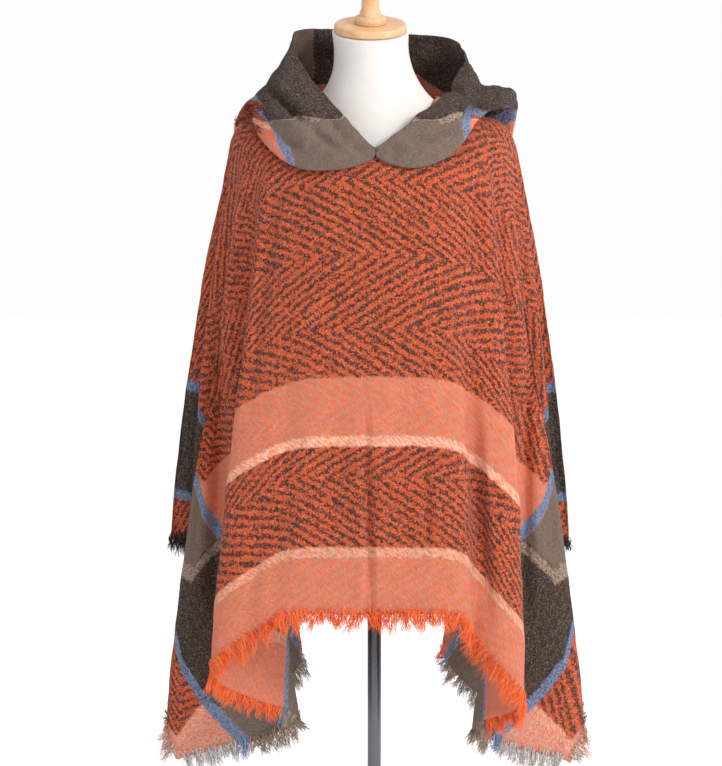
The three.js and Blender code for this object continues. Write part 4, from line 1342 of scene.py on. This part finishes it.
@dataclass
class Nap:
    """Short stray fibres standing off a brushed cloth."""

    name: str
    host: bpy.types.Object
    slot: str
    count: int
    seed: int
    length: float = 6.0
    width: float = 0.34

    def build(self, cloth: bpy.types.Material) -> bpy.types.Object:
        """Makes the fibres.

        Args:
            cloth: the material of the cloth that they stand on.

        Returns:
            The piece.
        """
        random = np.random.default_rng(self.seed)
        mesh = self.host.data
        points = read_vectors(mesh.vertices, "co").astype(float) / MM
        normals = read_vectors(mesh.vertices, "normal").astype(float)
        pattern = read_vectors(mesh.attributes["blanket"].data, "vector")
        corners = np.zeros(len(mesh.polygons) * 4, np.int32)
        mesh.loops.foreach_get("vertex_index", corners)
        corners = corners.reshape(-1, 4)
        first, second, third, fourth = (points[corners[:, k]] for k in range(4))
        area = np.linalg.norm(np.cross(third - first, fourth - second), axis=1)
        face = random.choice(len(corners), self.count, p=area / area.sum())
        weights = random.dirichlet((1.0, 1.0, 1.0, 1.0), self.count)[..., None]
        root = (points[corners[face]] * weights).sum(1)
        out = unit((normals[corners[face]] * weights).sum(1))
        lay = unit(random.normal(size=(self.count, 3)) + np.array([0.0, 0.0, -0.5]))
        rise = unit(lay - out * (lay * out).sum(1, keepdims=True))
        reach = self.length * random.uniform(0.5, 1.3, self.count)[:, None]
        across = unit(np.cross(rise, out)) * self.width / 2
        middle = root + rise * reach * 0.45 + out * reach * random.uniform(0.2, 0.42, (self.count, 1))
        tip = middle + rise * reach * 0.4 + out * reach * random.uniform(-0.1, 0.3, (self.count, 1))
        narrow = across * 0.7
        vertices = np.stack([root - across, root + across, middle + narrow, middle - narrow, tip], 1)
        base = np.arange(self.count)[:, None] * 5
        faces = np.concatenate([base + np.array(corner) for corner in ((0, 1, 2), (0, 2, 3), (3, 2, 4))])
        colours = np.repeat((pattern[corners[face]] * weights).sum(1), 5, axis=0)
        piece = build_object(self.name, vertices.reshape(-1, 3), faces, colours)
        dress(piece, cloth, self.slot)
        return piece


def lofted(name: str, rows: Array) -> bpy.types.Object:
    """Closed surface of rings that go down, the first and last of them drawn to a point."""
    count, segments = rows.shape[:2]
    inner = rows[1:-1].reshape(-1, 3)
    vertices = np.concatenate([inner, rows[0][:1], rows[-1][:1]])
    number = np.arange(len(inner)).reshape(count - 2, segments)
    after = np.roll(number, -1, axis=1)
    quads = np.stack([number[:-1], number[1:], after[1:], after[:-1]], -1).reshape(-1, 4)
    top, low = len(inner), len(inner) + 1
    caps = np.concatenate([
        np.stack([np.full(segments, top), number[0], after[0]], -1),
        np.stack([np.full(segments, low), after[-1], number[-1]], -1),
    ])
    triangles = np.concatenate([quads[:, [0, 1, 2]], quads[:, [0, 2, 3]], caps])
    return build_object(name, vertices, triangles)


def turned_rings(profile: Sequence[tuple[float, float]], segments: int) -> Array:
    """Rings of an upright turned body from radius and height pairs that go down."""
    turn = np.linspace(0, 2 * np.pi, segments, endpoint=False)
    level = np.ones(segments)
    return np.array([np.stack([r * np.sin(turn), -r * np.cos(turn), z * level], -1) for r, z in profile])


def rounded_rim(radius: float, height: float, rounding: float) -> list[tuple[float, float]]:
    """Profile of a rounded upper rim, from its flat top to its upright side."""
    turns = [math.radians(90 - 15 * k) for k in range(7)]
    inner, low = radius - rounding, height - rounding
    return [(inner + rounding * math.cos(a), low + rounding * math.sin(a)) for a in turns]


@dataclass
class DressForm:
    """Jersey-covered torso with its wooden neck block and finial."""

    clearance: float = 3.3
    segments: int = 144
    turned_segments: int = 96
    neck_rows: tuple[tuple[float, ...], ...] = (
        (1474, 60, 60, 60, -7),
        (1440, 59, 60, 60, -5),
        (1405, 67, 66, 64, -2),
    )
    shoulder_rows: tuple[tuple[float, ...], ...] = (
        (0, 0, 0), (0.5, -0.5, 0.6), (1, -1, 0.3), (1, 0, 2), (1, 1, 5),
    )
    torso_rows: tuple[tuple[float, ...], ...] = (
        (1190, 186, 126, 118),
        (1110, 168, 128, 106),
        (1030, 146, 104, 92),
        (950, 130, 92, 88),
        (870, 148, 100, 104),
        (790, 166, 106, 120),
        (735, 162, 102, 114),
        (722, 150, 92, 104),
    )
    neck_tilt: float = 18.0
    cap_radius: float = 57.0
    cap_height: float = 13.0
    cap_round: float = 4.0
    step_gap: float = 0.3

    def oval_row(self, row: Sequence[float], turn: Array) -> Array:
        """Ring of the torso from its height, half-width, half-depths and shift."""
        height, side, front, back, *shift = row
        plan = Ring(side, front, back).plan(turn)
        x = plan[:, 0] + (shift[0] if shift else 0.0)
        return np.stack([x, plan[:, 1], np.full_like(x, height)], -1)

    def under_cloth(self, row: Sequence[float], around: Array) -> Array:
        """Ring that follows the cloth from below."""
        slopes, bends, inset = row
        ring = []
        for degrees in around:
            cloth = RIGHT if degrees <= 180 else LEFT
            flat = np.array(degrees if degrees <= 180 else 360 - degrees)
            col = cloth.columns(flat)
            point, normal = cloth.frames(flat, slopes * col["slope_run"] + bends * col["bend"])
            ring.append(point - normal * (self.clearance + inset))
        return np.array(ring)

    def torso(self, jersey: bpy.types.Material) -> bpy.types.Object:
        """Makes the torso, smooth from the neck to the hips."""
        around = np.linspace(0, 360, self.segments, endpoint=False)
        turn = np.radians(around)
        rings = [self.oval_row(row, turn) for row in self.neck_rows]
        rings[0][:, 2] += rings[0][:, 1] * math.tan(math.radians(self.neck_tilt))
        rings += [self.under_cloth(row, around) for row in self.shoulder_rows]
        rings += [self.oval_row(row, turn) for row in self.torso_rows]
        stack = np.array(rings)
        fine = np.stack([centripetal(stack[:, k], 5) for k in range(self.segments)], 1)
        top, low = fine[0].mean(0), fine[-1].mean(0)
        rim_top = top + (fine[0] - top) * 0.96
        ends = [np.broadcast_to(point, fine[0].shape) for point in (top, low)]
        piece = lofted("form_torso_jersey", np.array([ends[0], rim_top, *fine, ends[1]]))
        dress(piece, jersey, "jersey", "form_torso")
        return piece

    def turned(self, name: str, profile: Sequence[tuple[float, float]]) -> bpy.types.Object:
        """Turned body from radius and height pairs that go down, on the tilted neck."""
        tilt = math.radians(self.neck_tilt)
        turned = turned_rings(profile, self.turned_segments)
        y = turned[..., 1] * math.cos(tilt) - turned[..., 2] * math.sin(tilt)
        z = turned[..., 1] * math.sin(tilt) + turned[..., 2] * math.cos(tilt)
        top = self.neck_rows[0]
        placed = np.stack([turned[..., 0] + top[4], y, z + top[0] + self.step_gap], -1)
        return lofted(name, placed)

    def cap(self, beech: bpy.types.Material) -> bpy.types.Object:
        """Makes the wooden block that closes the neck."""
        r, h = self.cap_radius, self.cap_height
        upper = rounded_rim(r, h, self.cap_round)
        lower = [(radius, h - height) for radius, height in reversed(upper)]
        piece = self.turned("neck_block_beech", [(0, h), (r * 0.7, h), *upper, *lower, (r * 0.7, 0), (0, 0)])
        dress(piece, beech, "wood", "neck_cap")
        return piece

    def finial(self, beech: bpy.types.Material) -> bpy.types.Object:
        """Makes the turned knob on the block."""
        base = self.cap_height + self.step_gap
        ball, centre, stem = 22.0, 84.0 - 22.0, 14.0
        start = math.degrees(math.acos(stem / ball))
        knob = [
            (ball * math.cos(math.radians(a)), centre + ball * math.sin(math.radians(a)))
            for a in np.linspace(88, -start, 22)
        ]
        foot = [
            (14, 27), (14.3, 23), (16, 19), (17, 15), (17, 12.4),
            (20.5, 12), (23.6, 10.2), (25, 6.5), (25, 0.6), (24.4, 0),
        ]
        profile = [(0, centre + ball), *knob, *foot, (12, 0), (0, 0)]
        piece = self.turned("finial_beech", [(r, z + base) for r, z in profile])
        dress(piece, beech, "wood", "finial")
        return piece

    def build(self) -> None:
        """Makes the torso and the wooden pieces."""
        self.torso(Jersey().build())
        beech = TurnedBeech().build()
        self.cap(beech)
        self.finial(beech)


@dataclass
class Stand:
    """Steel pole on a round base plate."""

    pole_radius: float = 11.0
    pole_top: float = 721.7
    base_radius: float = 150.0
    base_height: float = 12.0
    edge: float = 3.0
    pole_bevel: float = 0.8
    base_bevel: float = 0.5
    step_gap: float = 0.3

    def build(self) -> None:
        """Makes the pole and the plate."""
        top, low, r, e = self.pole_top, self.base_height + self.step_gap, self.pole_radius, self.pole_bevel
        profile = [(0, top), (r - e, top), (r, top - e), (r, low + e), (r - e, low), (0, low)]
        pole = lofted("pole_steel", turned_rings(profile, 64))
        finish = PolishedSteel("pole_steel_finish", "4c4e52", (300.0, 300.0, 9.0))
        dress(pole, finish.build(), "steel", "pole")
        r, h, e = self.base_radius, self.base_height, self.base_bevel
        rim = rounded_rim(r, h, self.edge)
        profile = [(0, h), (r * 0.6, h), *rim, (r, e), (r - e, 0), (r * 0.6, 0), (0, 0)]
        plate = lofted("base_plate_steel", turned_rings(profile, 160))
        finish = PolishedSteel("base_steel_finish", "55585c", (60.0, 60.0, 60.0))
        dress(plate, finish.build(), "steel", "base_plate")


@dataclass
class Poncho:
    """The whole garment: two panels, two hood halves, four fringed edges and their nap."""

    edge_gap: float = 0.4
    panel_cut: tuple[float, float] = (1.40, 0.84)
    panel_area: float = 1.0
    hood_cut: tuple[float, float] = (0.42, 0.44)
    fringe_seed: int = 31
    nap_seed: int = 51

    def build(self) -> None:
        """Makes every piece of the garment."""
        woven = BrushedCheck("brushed_check", YarnState.WOVEN).build()
        loose = BrushedCheck("loose_yarn", YarnState.LOOSE).build()
        front = BlanketPanel("front_panel_cloth", "front_panel", True).build(woven)
        back = BlanketPanel("back_panel_cloth", "back_panel", False).build(woven)
        hood_left = HoodHalf("hood_left_cloth", "hood_left", LEFT, LEFT_HOOD).build(woven)
        hood_right = HoodHalf("hood_right_cloth", "hood_right", RIGHT, RIGHT_HOOD).build(woven)
        gap = self.edge_gap
        edges = {
            "front": (HemStretch(LEFT, CORNER - gap, 0), HemStretch(RIGHT, 0, CORNER - gap)),
            "right": (HemStretch(RIGHT, CORNER + gap, BACK_CORNER - gap),),
            "back": (HemStretch(RIGHT, BACK_CORNER + gap, 180), HemStretch(LEFT, 180, BACK_CORNER + gap)),
            "left": (HemStretch(LEFT, BACK_CORNER - gap, CORNER + gap),),
        }
        for seed, (key, stretches) in enumerate(edges.items(), self.fringe_seed):
            FringedEdge(f"fringe_{key}_yarn", f"fringe_{key}", stretches, YarnLocks(seed)).build(loose)
        brushed = (
            (front, "cloth", 27000),
            (back, "cloth", 22000),
            (hood_left, "hood_cloth", 13000),
            (hood_right, "hood_cloth", 13000),
        )
        for seed, (host, slot, count) in enumerate(brushed, self.nap_seed):
            Nap(host.name.replace("_cloth", "_nap"), host, slot, count, seed).build(woven)
        ShoulderTufts().build(woven)


@dataclass(frozen=True)
class SoftLight:
    """A square soft light: its name, place, size and power."""

    name: str
    place: tuple[float, float, float]
    size: float
    power: float

    def build(self, aim: Vector) -> None:
        """Adds the light, turned to a point."""
        data = bpy.data.lights.new(self.name, "AREA")
        data.shape, data.size, data.energy = "SQUARE", self.size, self.power
        lamp = bpy.data.objects.new(self.name, data)
        lamp.location = self.place
        lamp.rotation_euler = (aim - Vector(self.place)).to_track_quat("-Z", "Y").to_euler()
        bpy.context.scene.collection.objects.link(lamp)


@dataclass
class Studio:
    """Camera at the viewing angle of the photograph, pale floor and soft light."""

    eye: tuple[float, float, float] = (-0.0216, -3.1825, 1.2535)
    pitch: float = 6.0
    focal_px: float = 2000.0
    frame_px: float = 766.0
    sensor: float = 36.0
    chest: tuple[float, float, float] = (0.0, 0.0, 0.95)
    lamps: tuple[SoftLight, ...] = (
        SoftLight("key", (2.1, -1.9, 2.5), 0.9, 52.0),
        SoftLight("top", (-0.4, -1.2, 3.4), 1.6, 9.0),
    )
    sky_strength: float = 0.98
    sky_middle: float = 0.72
    sky_lean: float = 0.3
    floor_half: float = 14000.0

    def camera(self) -> None:
        """Makes the camera."""
        data = bpy.data.cameras.new("camera")
        data.sensor_width = self.sensor
        data.lens = self.focal_px / self.frame_px * self.sensor
        data.clip_end = 60.0
        camera = bpy.data.objects.new("camera", data)
        camera.location = self.eye
        camera.rotation_euler = (math.radians(90 - self.pitch), 0.0, 0.0)
        bpy.context.scene.collection.objects.link(camera)
        bpy.context.scene.camera = camera

    def floor(self) -> None:
        """Makes the floor."""
        half = self.floor_half
        corners = np.array([[-half, -half, 0.0], [half, -half, 0.0], [half, half, 0.0], [-half, half, 0.0]])
        floor = build_object("floor", corners + np.array([0, 0, -0.2]), np.array([[0, 1, 2, 3]]))
        floor.data.materials.append(PalePaint().build())

    def sky(self) -> None:
        """Makes the sky, white behind the figure and a little darker to its left."""
        g = Graph("studio_sky", sky=True)
        at = g.node("ShaderNodeTexCoord", {}, {}, "Generated")
        right, behind = g.part(at, "X"), g.part(at, "Y")
        bright = g.maths("MULTIPLY_ADD", right, self.sky_lean, self.sky_middle, clamp=True)
        bright = g.maths("MAXIMUM", bright, g.step(behind, 0.86, 0.16))
        sky = g.mix(bright, (0.0, 0.0, 0.0, 1.0), (1.0, 1.0, 1.0, 1.0))
        bpy.context.scene.world = g.finish({"Color": sky, "Strength": self.sky_strength})

    def build(self) -> None:
        """Makes camera, floor, sky and lights."""
        self.camera()
        self.floor()
        self.sky()
        bpy.context.scene.view_settings.view_transform = "Standard"
        for lamp in self.lamps:
            lamp.build(Vector(self.chest))


def main() -> None:
    """Builds the scene in order and reports each piece."""
    logging.basicConfig(level=logging.INFO, format="%(name)s: %(message)s")
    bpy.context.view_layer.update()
    Studio().build()
    DressForm().build()
    Stand().build()
    Poncho().build()


if __name__ == "__main__":
    main()
